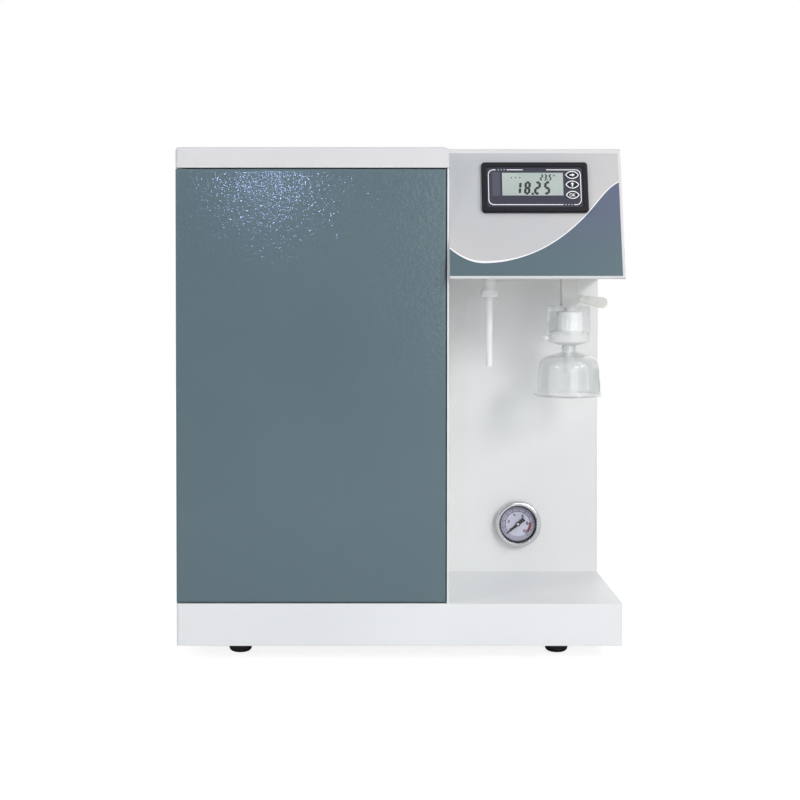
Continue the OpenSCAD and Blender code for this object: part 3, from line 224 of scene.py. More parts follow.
# The print turns from teal, low on the head, to a violet blue higher up
split = add(tree, "ShaderNodeSeparateXYZ", links={"Vector": place.outputs["Object"]})
TEAL_HEIGHT, VIOLET_HEIGHT = 0.36, 0.42
rise = add(tree, "ShaderNodeMapRange",
           {"From Min": TEAL_HEIGHT, "From Max": VIOLET_HEIGHT},
           {"Value": split.outputs["Z"]})
shade = add(tree, "ShaderNodeMix", links={"Factor": rise.outputs["Result"]},
            data_type="RGBA")
shade.inputs["A"].default_value = linear("#53676F")
shade.inputs["B"].default_value = linear("#586079")
tree.links.new(shade.outputs["Result"], shader.inputs["Base Color"])
wear(film_blue, "overlay_wave")

# %% [markdown]
# ## The panel meter
# The meter's bezel and front plate are moulded ABS in a very dark navy. The mould was
# spark-eroded, which leaves a matt grain about 0.3 mm wide, too fine for this picture,
# so it is drawn at 0.6 mm. A moulded edge is always slightly round, which the Bevel
# node draws. The keys are silicone rubber, whose IOR is lower.

# %% Meter plastics
# Specular level of the meter's dark parts: at the usual 0.5 the white room greys them
DULL = 0.2


def moulded(name, colour, roughness, grain_mm, depth_mm, radius_mm=0.3, ior=1.53):
    """Moulded plastic: an even colour, a fine grain and softened edges."""
    material, tree, shader = new_finish(name, colour, roughness, IOR=ior)
    place = add(tree, "ShaderNodeTexCoord")
    grit = add(tree, "ShaderNodeTexNoise", {"Scale": per_mm(grain_mm), "Detail": 2.0},
               {"Vector": place.outputs["Object"]})
    bump = add(tree, "ShaderNodeBump", {"Strength": 0.3, "Distance": depth_mm * MM},
               {"Height": grit.outputs["Fac"],
                "Normal": rounded(tree, radius_mm).outputs["Normal"]})
    tree.links.new(bump.outputs["Normal"], shader.inputs["Normal"])
    spread = add(tree, "ShaderNodeMapRange", {"To Min": roughness - 0.05,
                 "To Max": roughness + 0.06}, {"Value": grit.outputs["Fac"]})
    tree.links.new(spread.outputs["Result"], shader.inputs["Roughness"])
    return material, tree, shader


bezel_abs, _, shader = moulded("navy_abs_bezel", "#14141C", 0.36, 0.6, 0.02, 0.6)
shader.inputs["Specular IOR Level"].default_value = DULL
wear(bezel_abs, "meter_bezel")
plate_abs, _, shader = moulded("navy_abs_front_plate", "#3B3C49", 0.42, 0.6, 0.015)
shader.inputs["Specular IOR Level"].default_value = DULL
wear(plate_abs, "meter_face")
housing_abs, _, _ = moulded("black_abs_housing", "#1D1D20", 0.5, 0.8, 0.03)
wear(housing_abs, "meter_body", "meter_clamps")
key_rubber, _, shader = moulded("dark_silicone_keys", "#20202B", 0.5, 0.5, 0.01, 0.4, 1.41)
shader.inputs["Specular IOR Level"].default_value = DULL
wear(key_rubber, "key_next", "key_up", "key_ok")

# %% [markdown]
# ## The display
# A reflective liquid crystal panel is a grey-green polariser under plain glass. The
# polariser scatters, and the coat of the shader stands for the glass and its gloss.

# %% Display finish
lcd_film, tree, shader = new_finish("grey_green_polariser", "#B5C0BC", 0.5, IOR=1.5,
                                    Coat_Weight=0.5, Coat_Roughness=0.06)
place = add(tree, "ShaderNodeTexCoord")
drift(tree, shader, place, "#B2BDB9", "#A8B4AF", width_mm=25)
wear(lcd_film, "lcd_display")

# %% [markdown]
# ## White fittings, valve and tube
# Push-in fittings are moulded from white acetal: slightly waxy, so a little subsurface
# scatter and a broad highlight. The valve and its lever are acetal too, a little greyer.
# The outlet tube is polyethylene, duller, and light spreads further in it.

# %% Fitting and tube plastics
def waxy(shader, weight, *radius_mm):
    """Subsurface scatter: how much light goes in, and how far red, green, blue spread."""
    shader.inputs["Subsurface Weight"].default_value = weight
    shader.inputs["Subsurface Radius"].default_value = [r * MM for r in radius_mm]


acetal, _, shader = moulded("white_acetal", "#F1F2F1", 0.38, 0.7, 0.01, 0.4, 1.48)
waxy(shader, 0.15, 2, 2, 1.8)
wear(acetal, "ro_outlet_fitting", "ro_outlet_collet", "bulkhead_nuts", "rear_ports",
     "feed_collet", "drain_collet", "hinge_bushings", "cartridge_clips",
     "conductivity_cell")

# The valve is a little greyer, from a filler in the plastic
valve_acetal, _, shader = moulded("grey_white_acetal", "#DDDEDA", 0.42, 0.7, 0.01, 0.4,
                                  1.48)
# Acetal lets light into its edges, so its shaded sides stay pale
waxy(shader, 0.4, 6, 6, 6)
wear(valve_acetal, "valve_body")

lever_acetal, _, shader = moulded("ivory_acetal_lever", "#D7D8D2", 0.4, 0.7, 0.01, 0.8,
                                  1.48)
waxy(shader, 0.2, 3, 3, 2.5)
wear(lever_acetal, "valve_lever")

tube_pe, _, shader = moulded("white_polyethylene_tube", "#F8F9F9", 0.42, 1.2, 0.01, 0.2,
                             1.51)
waxy(shader, 0.1, 4, 4, 4)
wear(tube_pe, "ro_outlet_tube", "tubing")


# %% [markdown]
# ## Clear plastics: filter housing and bell
# Both are clear SAN, moulded and only faintly grey. Real SAN has an IOR of 1.57, and 1.5
# is used here, which bends and mirrors a little less. A thin wall hardly shifts what lies
# behind it, so a share of the rays passes unbent, and the rest is bent and mirrored,
# which draws the rims. The housing is milkier than the bell. It is rougher, and more
# passes unbent, so that the white core behind it stays bright.

# %% Clear plastics
def clear_moulding(name, colour, roughness, ripple_mm, unbent, shade, clarity=1.0):
    """Clear moulding with the faint flow ripples of its wall; shade tints its shadow."""
    material, tree, shader = new_finish(name, colour, roughness, IOR=1.5)
    shader.inputs["Transmission Weight"].default_value = clarity
    place = add(tree, "ShaderNodeTexCoord")
    flow = add(tree, "ShaderNodeTexNoise", {"Scale": per_mm(ripple_mm), "Detail": 1.0},
               {"Vector": place.outputs["Object"]})
    bump = add(tree, "ShaderNodeBump", {"Strength": 0.15, "Distance": 0.08 * MM},
               {"Height": flow.outputs["Fac"]})
    tree.links.new(bump.outputs["Normal"], shader.inputs["Normal"])
    # Light goes straight through to the pieces behind, so their shadow stays pale
    out = tree.nodes["Material Output"]
    path = add(tree, "ShaderNodeLightPath")
    tint = add(tree, "ShaderNodeMix", links={"Factor": path.outputs["Is Shadow Ray"]},
               data_type="RGBA")
    tint.inputs["A"].default_value = linear("#FBFCFC")
    tint.inputs["B"].default_value = linear(shade)
    pass_through = add(tree, "ShaderNodeBsdfTransparent",
                       links={"Color": tint.outputs["Result"]})
    share = add(tree, "ShaderNodeMath", {1: unbent}, {0: path.outputs["Is Shadow Ray"]},
                operation="MAXIMUM")
    pick = add(tree, "ShaderNodeMixShader", links={0: share.outputs["Value"],
               1: shader.outputs["BSDF"], 2: pass_through.outputs["BSDF"]})
    tree.links.new(pick.outputs["Shader"], out.inputs["Surface"])
    return material


clear_san = clear_moulding("clear_san_bell", "#FBFCFC", 0.025, 14, 0.4, "#CDCFCF")
wear(clear_san, "bell")
milky_san = clear_moulding("frosted_san_filter", "#F8F9F9", 0.1, 8, 0.72, "#F6F6F6")
wear(milky_san, "filter_housing")

# %% [markdown]
# ## Final filter: frosted base and pleated membrane
# The filter's base is polypropylene, milky rather than clear. About a third of the rays
# passes straight through, and a tenth of the rest is transmitted. The membrane is white
# felt in pleats. Light goes deep into it, and its folds are soft, so the shading is
# rounded over 2.5 mm, more than at any edge here.

# %% Filter base and membrane
base_pp = clear_moulding("translucent_polypropylene_base", "#F8F9F8", 0.35, 10, 0.35,
                         "#D8D8D8", 0.1)
wear(base_pp, "filter_base")

membrane, tree, shader = new_finish("pleated_membrane", "#F8F8F6", 0.75, IOR=1.35)
waxy(shader, 0.8, 6, 6, 6)
fold = rounded(tree, radius_mm=2.5)
place = add(tree, "ShaderNodeTexCoord")
fibre = add(tree, "ShaderNodeTexNoise", {"Scale": per_mm(0.5), "Detail": 4.0},
            {"Vector": place.outputs["Object"]})
bump = add(tree, "ShaderNodeBump", {"Strength": 0.4, "Distance": 0.03 * MM},
           {"Height": fibre.outputs["Fac"], "Normal": fold.outputs["Normal"]})
tree.links.new(bump.outputs["Normal"], shader.inputs["Normal"])
wear(membrane, "filter_core")


# %% [markdown]
# ## Metals
# The gauge has a drawn stainless case and a polished bezel. Screws, clamp and pins are
# zinc plated or stainless. Brushed sheet has fine lines in one direction, so its noise
# is stretched fifty times along X. A metal keeps the default IOR, and its look comes
# from colour and roughness.

# %% Metal finishes
def metal(name, colour, roughness, line_mm=None, strength=0.2):
    material, tree, shader = new_finish(name, colour, roughness, Metallic=1.0)
    place = add(tree, "ShaderNodeTexCoord")
    stretch = (0.02, 1, 1) if line_mm else (1, 1, 1)
    lie = add(tree, "ShaderNodeMapping", {"Scale": stretch},
              {"Vector": place.outputs["Object"]})
    lines = add(tree, "ShaderNodeTexNoise", {"Scale": per_mm(line_mm or 2.0),
                "Detail": 3.0}, {"Vector": lie.outputs["Vector"]})
    spread = add(tree, "ShaderNodeMapRange", {"To Min": roughness * 0.75,
                 "To Max": roughness * 1.3}, {"Value": lines.outputs["Fac"]})
    bump = add(tree, "ShaderNodeBump", {"Strength": strength, "Distance": 0.01 * MM},
               {"Height": lines.outputs["Fac"],
                "Normal": rounded(tree, 0.3).outputs["Normal"]})
    tree.links.new(spread.outputs["Result"], shader.inputs["Roughness"])
    tree.links.new(bump.outputs["Normal"], shader.inputs["Normal"])
    return material


chrome = metal("polished_chromed_brass", "#CDCED1", 0.08, strength=0.08)
wear(chrome, "gauge_bezel")
stainless = metal("drawn_stainless_steel", "#C3C4C6", 0.28, 0.8)
wear(stainless, "gauge_case", "hinge_pins")
pin_steel = metal("tumbled_stainless_pin", "#E2E3E2", 0.55, 0.8)
wear(pin_steel, "valve_spindle")
zinc = metal("zinc_plated_steel", "#BCC0C4", 0.34, 1.5)
wear(zinc, "case_screws", "gauge_clamp")
mill_aluminium = metal("mill_finish_aluminium", "#CDCFD0", 0.36, 0.9)
wear(mill_aluminium, "base_plate", "power_supply")

# %% [markdown]
# ## The gauge's dial
# The dial is a painted aluminium disc under glass, in a cool pale grey. The pointer is
# stamped and painted black. The glass is thin, plain and coated against reflections, so
# a low IOR stands for it: it mirrors little of the floor and hardly bends the light.

# %% Dial, pointer and glass
dial_paint, tree, shader = new_finish("dial_enamel", "#ACADBB", 0.45, IOR=1.5)
place = add(tree, "ShaderNodeTexCoord")
drift(tree, shader, place, "#B0B1BF", "#A7A8B7", width_mm=12)
wear(dial_paint, "gauge_dial")
pointer_paint, _, _ = moulded("black_pointer_enamel", "#0B0B0D", 0.4, 0.5, 0.01, 0.1)
wear(pointer_paint, "gauge_pointer")

dial_glass, tree, shader = new_finish("plain_dial_glass", "#FFFFFF", 0.02, IOR=1.2)
shader.inputs["Transmission Weight"].default_value = 1.0
place = add(tree, "ShaderNodeTexCoord")
waves = add(tree, "ShaderNodeTexNoise", {"Scale": per_mm(18)},
            {"Vector": place.outputs["Object"]})
bump = add(tree, "ShaderNodeBump", {"Strength": 0.05, "Distance": 0.02 * MM},
           {"Height": waves.outputs["Fac"]})
tree.links.new(bump.outputs["Normal"], shader.inputs["Normal"])
path = add(tree, "ShaderNodeLightPath")
pass_through = add(tree, "ShaderNodeBsdfTransparent")
pick = add(tree, "ShaderNodeMixShader", links={0: path.outputs["Is Shadow Ray"],
           1: shader.outputs["BSDF"], 2: pass_through.outputs["BSDF"]})
tree.links.new(pick.outputs["Shader"], tree.nodes["Material Output"].inputs["Surface"])
wear(dial_glass, "gauge_glass")

# %% [markdown]
# ## Inside and behind
# Rubber is matt, with a grain from its mould. The cartridges are blow-moulded
# polypropylene, slightly wavy and waxy. Pump, valve, inlet, the switch's frame and the
# door's catches are black glass-filled nylon, whose fibres show as a dull, uneven grain.
# The rocker is ABS from a polished mould.

# %% Rubber, polypropylene and nylon
rubber, _, _ = moulded("black_moulded_rubber", "#19191B", 0.72, 0.9, 0.06, 0.5, 1.52)
wear(rubber, "feet", "pump_mounts")
nylon, _, _ = moulded("black_filled_nylon", "#202023", 0.55, 1.0, 0.05, 0.5)
wear(nylon, "booster_pump", "solenoid_valve", "power_inlet", "switch_frame",
     "door_catches")
rocker_abs, _, _ = moulded("glossy_black_rocker", "#17171A", 0.22, 1.0, 0.01, 0.6)
wear(rocker_abs, "power_rocker")
for colour, name, node in (
        ("#E9E9E6", "white_polypropylene", "sediment_cartridge"),
        ("#A9ABAD", "grey_polypropylene", "carbon_cartridge"),
        ("#C3D6DF", "pale_blue_polypropylene", "polishing_cartridge"),
        ("#E4E5E6", "white_membrane_shell", "ro_membrane_housing")):
    body_pp, _, shader = moulded(name, colour, 0.4, 6.0, 0.10, 0.8, 1.49)
    waxy(shader, 0.1, 3, 3, 3)
    wear(body_pp, node)

# %% [markdown]
# ## Placing print on the sloping face
# The meter sits on the head's face, which leans back by 16.1 degrees. The lower corner
# of the film's wave, measured from the frame, gives a point on the face. Print is then
# drawn flat, in millimetres across and up the face, and one matrix puts it there.

# %% Face axes
film_low, film_high = (Vector(c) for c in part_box("panel_overlay"))
wave_low, _ = (Vector(c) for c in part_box("overlay_wave"))
print("film, mm:", tuple(round(v / MM, 1) for v in film_high - film_low))
LEAN = math.radians(16.1)
across = Vector((1, 0, 0))
up_slope = Vector((0, math.sin(LEAN), math.cos(LEAN)))
outward = Vector((0, -math.cos(LEAN), math.sin(LEAN)))
FILM = 0.5 * MM
# The film's lower edge touches the head's foremost line
edge = Vector((wave_low.x, wave_low.y, 0)) - FILM * Vector((0, outward.y, 0))
edge.z = wave_low.z
print("face starts at", tuple(round(v, 4) for v in edge))


def face_matrix(origin):
    """Local x runs across, y up the slope, z out of the face."""
    turn = Matrix((across, up_slope, outward)).transposed().to_4x4()
    return Matrix.Translation(origin) @ turn


# A piece's front lies half its thickness further out than the centre of its box
PLATE_HALF, DISPLAY_HALF, KEY_HALF = 1.0, 0.9, 1.7
meter_low, meter_high = (Vector(c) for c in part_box("meter_face"))
meter_mid = (meter_low + meter_high) / 2
METER_FACE = face_matrix(meter_mid + outward * PLATE_HALF * MM)
lcd_low, lcd_high = (Vector(c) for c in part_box("lcd_display"))
LCD_FACE = face_matrix((lcd_low + lcd_high) / 2 + outward * DISPLAY_HALF * MM)
print("meter", tuple(round(v * 1000, 1) for v in meter_mid))

# %% [markdown]
# ## Flat print as thin meshes
# Screen print is about 0.02 mm of ink. Each mark is a flat polygon with a little
# thickness, 0.06 mm, so that it never flickers against the plate below. A stroke helper
# draws a line of even width through points, and another fills an outline.

# %% Print helpers
INK = 0.06


def slab(name, outlines, matrix, material, body="case", thick=INK):
    """Flat outlines, each a list of (x, y) in mm, made into thin solid pieces."""
    mesh = bpy.data.meshes.new(name)
    bm = bmesh.new()
    for outline in outlines:
        face = bm.faces.new([bm.verts.new((x * MM, y * MM, 0)) for x, y in outline])
        grown = bmesh.ops.extrude_face_region(bm, geom=[face])
        lifted = [v for v in grown["geom"] if isinstance(v, bmesh.types.BMVert)]
        bmesh.ops.translate(bm, verts=lifted, vec=(0, 0, thick * MM))
    bmesh.ops.recalc_face_normals(bm, faces=bm.faces)
    bm.to_mesh(mesh)
    bm.free()
    mesh.transform(matrix)
    mesh.materials.append(material)
    piece = bpy.data.objects.new(name, mesh)
    bpy.context.scene.collection.objects.link(piece)
    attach(piece, body)
    return piece


def stroke(points, widths):
    """A line through points as quads, its width given once or for each point."""
    if not isinstance(widths, (list, tuple)):
        widths = [widths] * len(points)
    left, right = [], []
    for i, (x, y) in enumerate(points):
        ax, ay = points[max(i - 1, 0)]
        bx, by = points[min(i + 1, len(points) - 1)]
        run = math.hypot(bx - ax, by - ay) or 1
        nx, ny = -(by - ay) / run * widths[i] / 2, (bx - ax) / run * widths[i] / 2
        left.append((x + nx, y + ny))
        right.append((x - nx, y - ny))
    return [[left[i], right[i], right[i + 1], left[i + 1]] for i in range(len(points) - 1)]


def arc(cx, cy, r, start, stop, steps=8, squash=1.0):
    return [(cx + r * math.cos(math.radians(start + (stop - start) * i / steps)),
             cy + squash * r * math.sin(math.radians(start + (stop - start) * i / steps)))
            for i in range(steps + 1)]


def disc(cx, cy, r, steps=16):
    return arc(cx, cy, r, 0, 360 - 360 / steps, steps - 1)


# %% Ink finishes
def ink(name, colour, roughness=0.45):
    """Screen-print ink: a thin matt layer with tiny pinholes."""
    material, tree, shader = new_finish(name, colour, roughness, IOR=1.5)
    place = add(tree, "ShaderNodeTexCoord")
    pits = add(tree, "ShaderNodeTexNoise", {"Scale": per_mm(0.4), "Detail": 1.0},
               {"Vector": place.outputs["Object"]})
    bump = add(tree, "ShaderNodeBump", {"Strength": 0.15, "Distance": 0.01 * MM},
               {"Height": pits.outputs["Fac"]})
    tree.links.new(bump.outputs["Normal"], shader.inputs["Normal"])
    return material


white_ink = ink("white_screen_ink", "#F6F6F8")
black_segment = ink("black_liquid_crystal", "#121718", 0.5)
red_ink = ink("red_dial_ink", "#762331")
scale_ink = ink("grey_lavender_scale_ink", "#8C8D9F")
dark_ink = ink("black_dial_ink", "#17171C")

# %% [markdown]
# ## Marks on the meter's front plate
# A white line with rounded corners frames the plate. It breaks at the upper left for four
# dots, at the top and at the lower right for three dots. A lighter column stands at the
# left, and each key has a pointed oval round it.

# %% Frame line and dots
# H is half the frame's height and R the radius of its corners
H, R, LEFT, RIGHT = 16.5, 4.6, -41.6, 41.2
LINE, DOT, DOT_STEP = 0.72, 0.42, 2.7
frame_marks = stroke([(LEFT + 6.5, H)] + arc(LEFT + R, H - R, R, 90, 180)
                     + arc(LEFT + R, -H + R, R, 180, 270) + [(25.0, -H)], LINE)
frame_marks += stroke([(34.5, -H)] + arc(RIGHT - R, -H + R, R, 270, 360)
                      + arc(RIGHT - R, H - R, R, 0, 90) + [(10.5, H)], LINE)
frame_marks += stroke([(-24.5, H), (-10.5, H)], LINE)
frame_marks += [disc(LEFT + 9.0 + i * DOT_STEP, H, DOT) for i in range(4)]
frame_marks += [disc(27.2 + i * DOT_STEP, -H, DOT) for i in range(3)]
slab("meter_frame_line", frame_marks, METER_FACE, white_ink)

# %% The lighter column at the left
column_ink = ink("slate_column_ink", "#424454")
slab("meter_side_column", [[(-38.3, -8.2), (-31.2, -8.2), (-31.2, 14.2), (-38.3, 14.2)]],
     METER_FACE, column_ink)


# %% Key outlines and symbols
OVAL_WIDTH, OVAL_HEIGHT, OVAL_LINE, LETTER_LINE = 11.3, 6.7, 0.8, 0.5


def pointed_oval(w, h, steps=12):
    r = (w * w / 4 + h * h / 4) / h
    a = math.degrees(math.asin(w / 2 / r))
    return (arc(0, h / 2 - r, r, 90 + a, 90 - a, steps)
            + arc(0, r - h / 2, r, 270 + a, 270 - a, steps)[1:])


for name, body in (("key_next", "next_key"), ("key_up", "up_key"), ("key_ok", "ok_key")):
    key_low, key_high = (Vector(c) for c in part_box(name))
    top = face_matrix((key_low + key_high) / 2 + outward * KEY_HALF * MM)
    ring = pointed_oval(OVAL_WIDTH, OVAL_HEIGHT)
    marks = stroke(ring + [ring[0]], OVAL_LINE)
    if name == "key_next":
        marks += [[(-2.2, -0.55), (0.3, -0.55), (0.3, 0.55), (-2.2, 0.55)],
                  [(0.2, -1.6), (2.4, 0), (0.2, 1.6)]]
    if name == "key_up":
        marks += [[(-0.55, -1.9), (0.55, -1.9), (0.55, 0.4), (-0.55, 0.4)],
                  [(-1.6, 0.3), (1.6, 0.3), (0, 2.3)]]
    if name == "key_ok":
        letter_o = arc(-1.5, 0, 1.15, 0, 360, 20, 1.15)
        marks += stroke(letter_o, LETTER_LINE)
        marks += stroke([(0.5, -1.4), (0.5, 1.4)], LETTER_LINE)
        marks += stroke([(2.2, 1.4), (0.75, 0.05), (2.3, -1.4)], LETTER_LINE)
    slab(name + "_marks", marks, top, white_ink, body)

# %% [markdown]
# ## Digits on the display
# The display shows two numbers in seven slanted segments, a small ring and three dots.
# Each segment is a bar with pointed ends, 2.2 mm thick on the large digits.

# %% Seven-segment digits
SEGMENTS = {"0": "abcdef", "1": "bc", "2": "abged", "3": "abgcd", "4": "fgbc",
            "5": "afgcd", "6": "afgedc", "7": "abc", "8": "abcdefg", "9": "abcdfg"}


def digit(character, x, y, w, h, t, slant=0.10):
    """Segments, t mm thick, of one digit whose lower left corner is x, y."""
    gap = t * 0.06
    point = t * 0.28
    half = h / 2
    ends = {"a": ((0, h), (w, h)), "b": ((w, h), (w, half)), "c": ((w, half), (w, 0)),
            "d": ((0, 0), (w, 0)), "e": ((0, half), (0, 0)), "f": ((0, h), (0, half)),
            "g": ((0, half), (w, half))}
    bars = []
    for s in SEGMENTS[character]:
        (x0, y0), (x1, y1) = ends[s]
        run = math.hypot(x1 - x0, y1 - y0)
        dx, dy = (x1 - x0) / run, (y1 - y0) / run
        px, py = -dy * t / 2, dx * t / 2
        a = (x0 + dx * gap, y0 + dy * gap)
        b = (x1 - dx * gap, y1 - dy * gap)
        c = (x0 + dx * (gap + point), y0 + dy * (gap + point))
        d = (x1 - dx * (gap + point), y1 - dy * (gap + point))
        bar = [a, (c[0] - px, c[1] - py), (d[0] - px, d[1] - py), b,
               (d[0] + px, d[1] + py), (c[0] + px, c[1] + py)]
        bars.append([(x + bx + slant * by, y + by) for bx, by in bar])
    return bars


LARGE = {"w": 3.5, "h": 10.4, "t": 2.2}
SMALL = {"w": 1.5, "h": 4.9, "t": 1.2}
bars = []
for character, x in zip("1825", (-15.1, -6.8, 2.2, 10.9)):
    bars += digit(character, x - 0.3, -8.9, **LARGE)
bars.append(disc(-0.2, -9.2, 1.15))
for character, x in zip("235", (7.1, 10.6, 14.8)):
    bars += digit(character, x, 3.9, **SMALL)
bars.append(disc(13.4, 3.5, 0.5))
bars += stroke(arc(19.2, 8.2, 0.7, 0, 360, 12), 0.5)
bars += [disc(-19.0 + i * 3.8, 6.1, 0.6) for i in range(3)]
slab("display_digits", bars, LCD_FACE, black_segment)

# %% [markdown]
# ## The wave's pinstripe
# A white pinstripe runs along the wave, widest near its trough. The wave itself is a
# solid, so the stripe's points repeat the curve that its upper edge follows, in
# millimetres across and up the face. Each knot gives place, height and slope.

# %% Wave curve and pinstripe
# The curve is measured from x = 44 mm, and from 3 mm below the wave's lower edge
CURVE_X, CURVE_DROP = 44, 3.0
FACE = face_matrix(edge - across * (wave_low.x - CURVE_X * MM) - up_slope * CURVE_DROP * MM
                   + outward * FILM)
KNOTS = [(0.4, 28.9, -0.9), (30.732, 15.6, 0.0), (121.992, 58.7, 1.05), (153.6, 91.0, 0.4)]


def wave(u):
    for (u0, v0, m0), (u1, v1, m1) in zip(KNOTS, KNOTS[1:]):
        if u <= u1 + 1e-9:
            h, t = u1 - u0, (u - u0) / (u1 - u0)
            return (v0 * (2 * t ** 3 - 3 * t ** 2 + 1) + v1 * (3 * t ** 2 - 2 * t ** 3)
                    + h * (m0 * (t ** 3 - 2 * t ** 2 + t) + m1 * (t ** 3 - t ** 2)))
    return KNOTS[-1][1]


START, LENGTH, STEPS = 0.4, 153.2, 60
along = [START + LENGTH * i / STEPS for i in range(STEPS + 1)]
crest = [(u, wave(u)) for u in along]
# The stripe is 0.85 mm wide, and 1 mm more at its trough, 32 mm along
swell = [0.85 + 1.0 * math.exp(-((u - 32) / 26) ** 2) for u in along]
slab("wave_pinstripe", stroke(crest, swell), FACE, white_ink)
print("pinstripe from", crest[0], "to", crest[-1])

# %% [markdown]
# ## The splash bell, turned smooth
# The real bell comes from a polished mould, so its shoulder is one smooth curve, which
# mirrors a lamp as one clear spot. The CAD solid has that curve in flat steps, and these
# break a mirror image up. So the same outline, in millimetres from the bell's axis, is
# turned in finer steps with smooth shading, and this piece stands for the solid. Its
# rim ends in a small round bead, as a moulded edge does.

# %% Bell
def turned(name, outline, x, y, material, body="case", steps=128):
    """A closed outline of (radius, height) in mm, turned round a vertical axis."""
    mesh = bpy.data.meshes.new(name)
    bm = bmesh.new()
    rings = [[bm.verts.new((x + r * MM * math.cos(math.tau * i / steps),
                            y + r * MM * math.sin(math.tau * i / steps), z * MM))
              for i in range(steps)] for r, z in outline]
    for ring, below in zip(rings, rings[1:] + rings[:1]):
        for i in range(steps):
            k = (i + 1) % steps
            bm.faces.new((ring[i], ring[k], below[k], below[i])).smooth = True
    bmesh.ops.recalc_face_normals(bm, faces=bm.faces)
    bm.to_mesh(mesh)
    bm.free()
    mesh.set_sharp_from_angle(angle=math.radians(35))
    mesh.materials.append(material)
    piece = bpy.data.objects.new(name, mesh)
    bpy.context.scene.collection.objects.link(piece)
    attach(piece, body)
    return piece


bell_low, bell_high = (Vector(c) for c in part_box("bell"))
TOP = bell_high.z / MM
WALL, BEAD, BORE = 1.4, 0.72, 4.25


def bell_face(inset):
    """One face of the wall from the collar down: inset is 0 outside and WALL inside."""
    return ([(6.7 - inset, TOP - 6.4 - inset)]
            + arc(15.4, TOP - 22.4, 13 - inset, 84, 0, 24)
            + arc(32.8, TOP - 43.3, 3 + inset, 180, 262, 10))


outer, inner = bell_face(0), bell_face(WALL)
bead = arc(32.28, TOP - 46.97, BEAD, 82, -98, 8)
outline = ([(BORE, TOP), (5.9, TOP), (6.7, TOP - 0.8)] + outer + bead[1:-1]
           + inner[:0:-1] + [(BORE, inner[1][1] + 0.6)])
smooth_bell = turned("splash_bell", outline, (bell_low.x + bell_high.x) / 2,
                     (bell_low.y + bell_high.y) / 2, clear_san)
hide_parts("bell")
print("bell outline:", len(outline), "points")

# %% [markdown]
# ## Gauge markings
# The dial has eleven long ticks over 270 degrees with short ones between, numbers at
# every second one, and a red band near the end of the scale. A grey band lies under the
# ticks. A black rubber ring seats the glass and lines the dial's edge. It is also painted
# shade: it stands in for the dark crescent of shade and reflection that the bezel's inner
# wall throws on the dial's rim. The pointer gets its paint and a bright cap. Angles run
# from the right, against the clock.

# %% Dial marks
SWEEP_START, SWEEP = 220, 270
LONG_TICK, SHORT_TICK, TICK_END = 12.6, 14.4, 16.2
NUMBER_RADIUS, NUMBER_WIDTH, NUMBER_HEIGHT, NUMBER_STEP = 9.3, 1.6, 2.6, 2.3
dial_low, dial_high = (Vector(c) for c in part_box("gauge_dial"))
dial_mid = (dial_low + dial_high) / 2
DIAL = (Matrix.Translation((dial_mid.x, dial_low.y, dial_mid.z))
        @ Matrix.Rotation(math.radians(90), 4, "X"))
ticks, numbers = [], []
for i in range(51):
    angle = math.radians(SWEEP_START - SWEEP * i / 50)
    inner = LONG_TICK if i % 5 == 0 else SHORT_TICK
    a = (inner * math.cos(angle), inner * math.sin(angle))
    b = (TICK_END * math.cos(angle), TICK_END * math.sin(angle))
    ticks += stroke([a, b], 0.5 if i % 5 == 0 else 0.3)
ticks += stroke(arc(0, 0, 12.3, SWEEP_START, SWEEP_START - SWEEP, 60), 0.5)
for i, label in enumerate(("0", "2", "4", "6", "8", "10")):
    angle = math.radians(SWEEP_START - SWEEP / 5 * i)
    cx, cy = NUMBER_RADIUS * math.cos(angle), NUMBER_RADIUS * math.sin(angle)
    for k, character in enumerate(label):
        left = cx - NUMBER_WIDTH / 2 + (k - (len(label) - 1) / 2) * NUMBER_STEP
        numbers += digit(character, left, cy - NUMBER_HEIGHT / 2, NUMBER_WIDTH,
                         NUMBER_HEIGHT, t=0.75, slant=0)


def ring_of(inner, outer, steps=72):
    """A flat ring as quads, for the rubber ring with its painted shade, and the printed
    band.
    """
    return stroke(arc(0, 0, (inner + outer) / 2, 0, 360, steps), outer - inner)


DIAL_INK = DIAL @ Matrix.Translation((0, 0, 0.07 * MM))
slab("dial_scale_band", ring_of(12.3, 17.2), DIAL, scale_ink)
slab("dial_ticks", ticks, DIAL_INK, dark_ink)
slab("dial_numbers", numbers, DIAL_INK, dark_ink)
slab("dial_red_band", stroke(arc(0, 0, 12.1, 6, -42, 16), 2.5), DIAL_INK, red_ink)
# Black rubber ring, and painted shade for the dark crescent at the bezel's inner edge
slab("gasket_and_painted_shade_ring", ring_of(16.9, 18.9), DIAL, rubber, thick=0.8)

# The pointer's front is painted as one bold shape, a little wider than the stamping
BOLD = (DIAL @ Matrix.Translation((0, 0, 1.8 * MM))
        @ Matrix.Rotation(math.radians(SWEEP_START), 4, "Z"))
slab("pointer_paint", [[(14.5, 0.6), (0, 1.5), (-8, 2.2), (-8, -2.2), (0, -1.5),
                        (14.5, -0.6)]], BOLD, pointer_paint, body="pointer")

# A bright cap closes the pointer's hub
pointer_low, _ = (Vector(c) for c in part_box("gauge_pointer"))
CAP = DIAL.copy()
CAP.translation.y = pointer_low.y
slab("pointer_cap", [disc(0, 0, 1.25)], CAP, zinc, body="pointer", thick=0.25)

# %% [markdown]
# ## Light, floor and background
# The photograph is a cut-out on white, lit softly from the front. A pale world gives an
# even fill, and soft lamps in front, 0.3 to 0.9 m wide, give the shapes some shade. The
# camera, mirrors and clear plastics see plain white behind the object, at a strength of
# 1, while the world lights the object with a third of that. The floor is white card. To
# the camera alone, a share of it is plain light, so that only a light shadow stays.

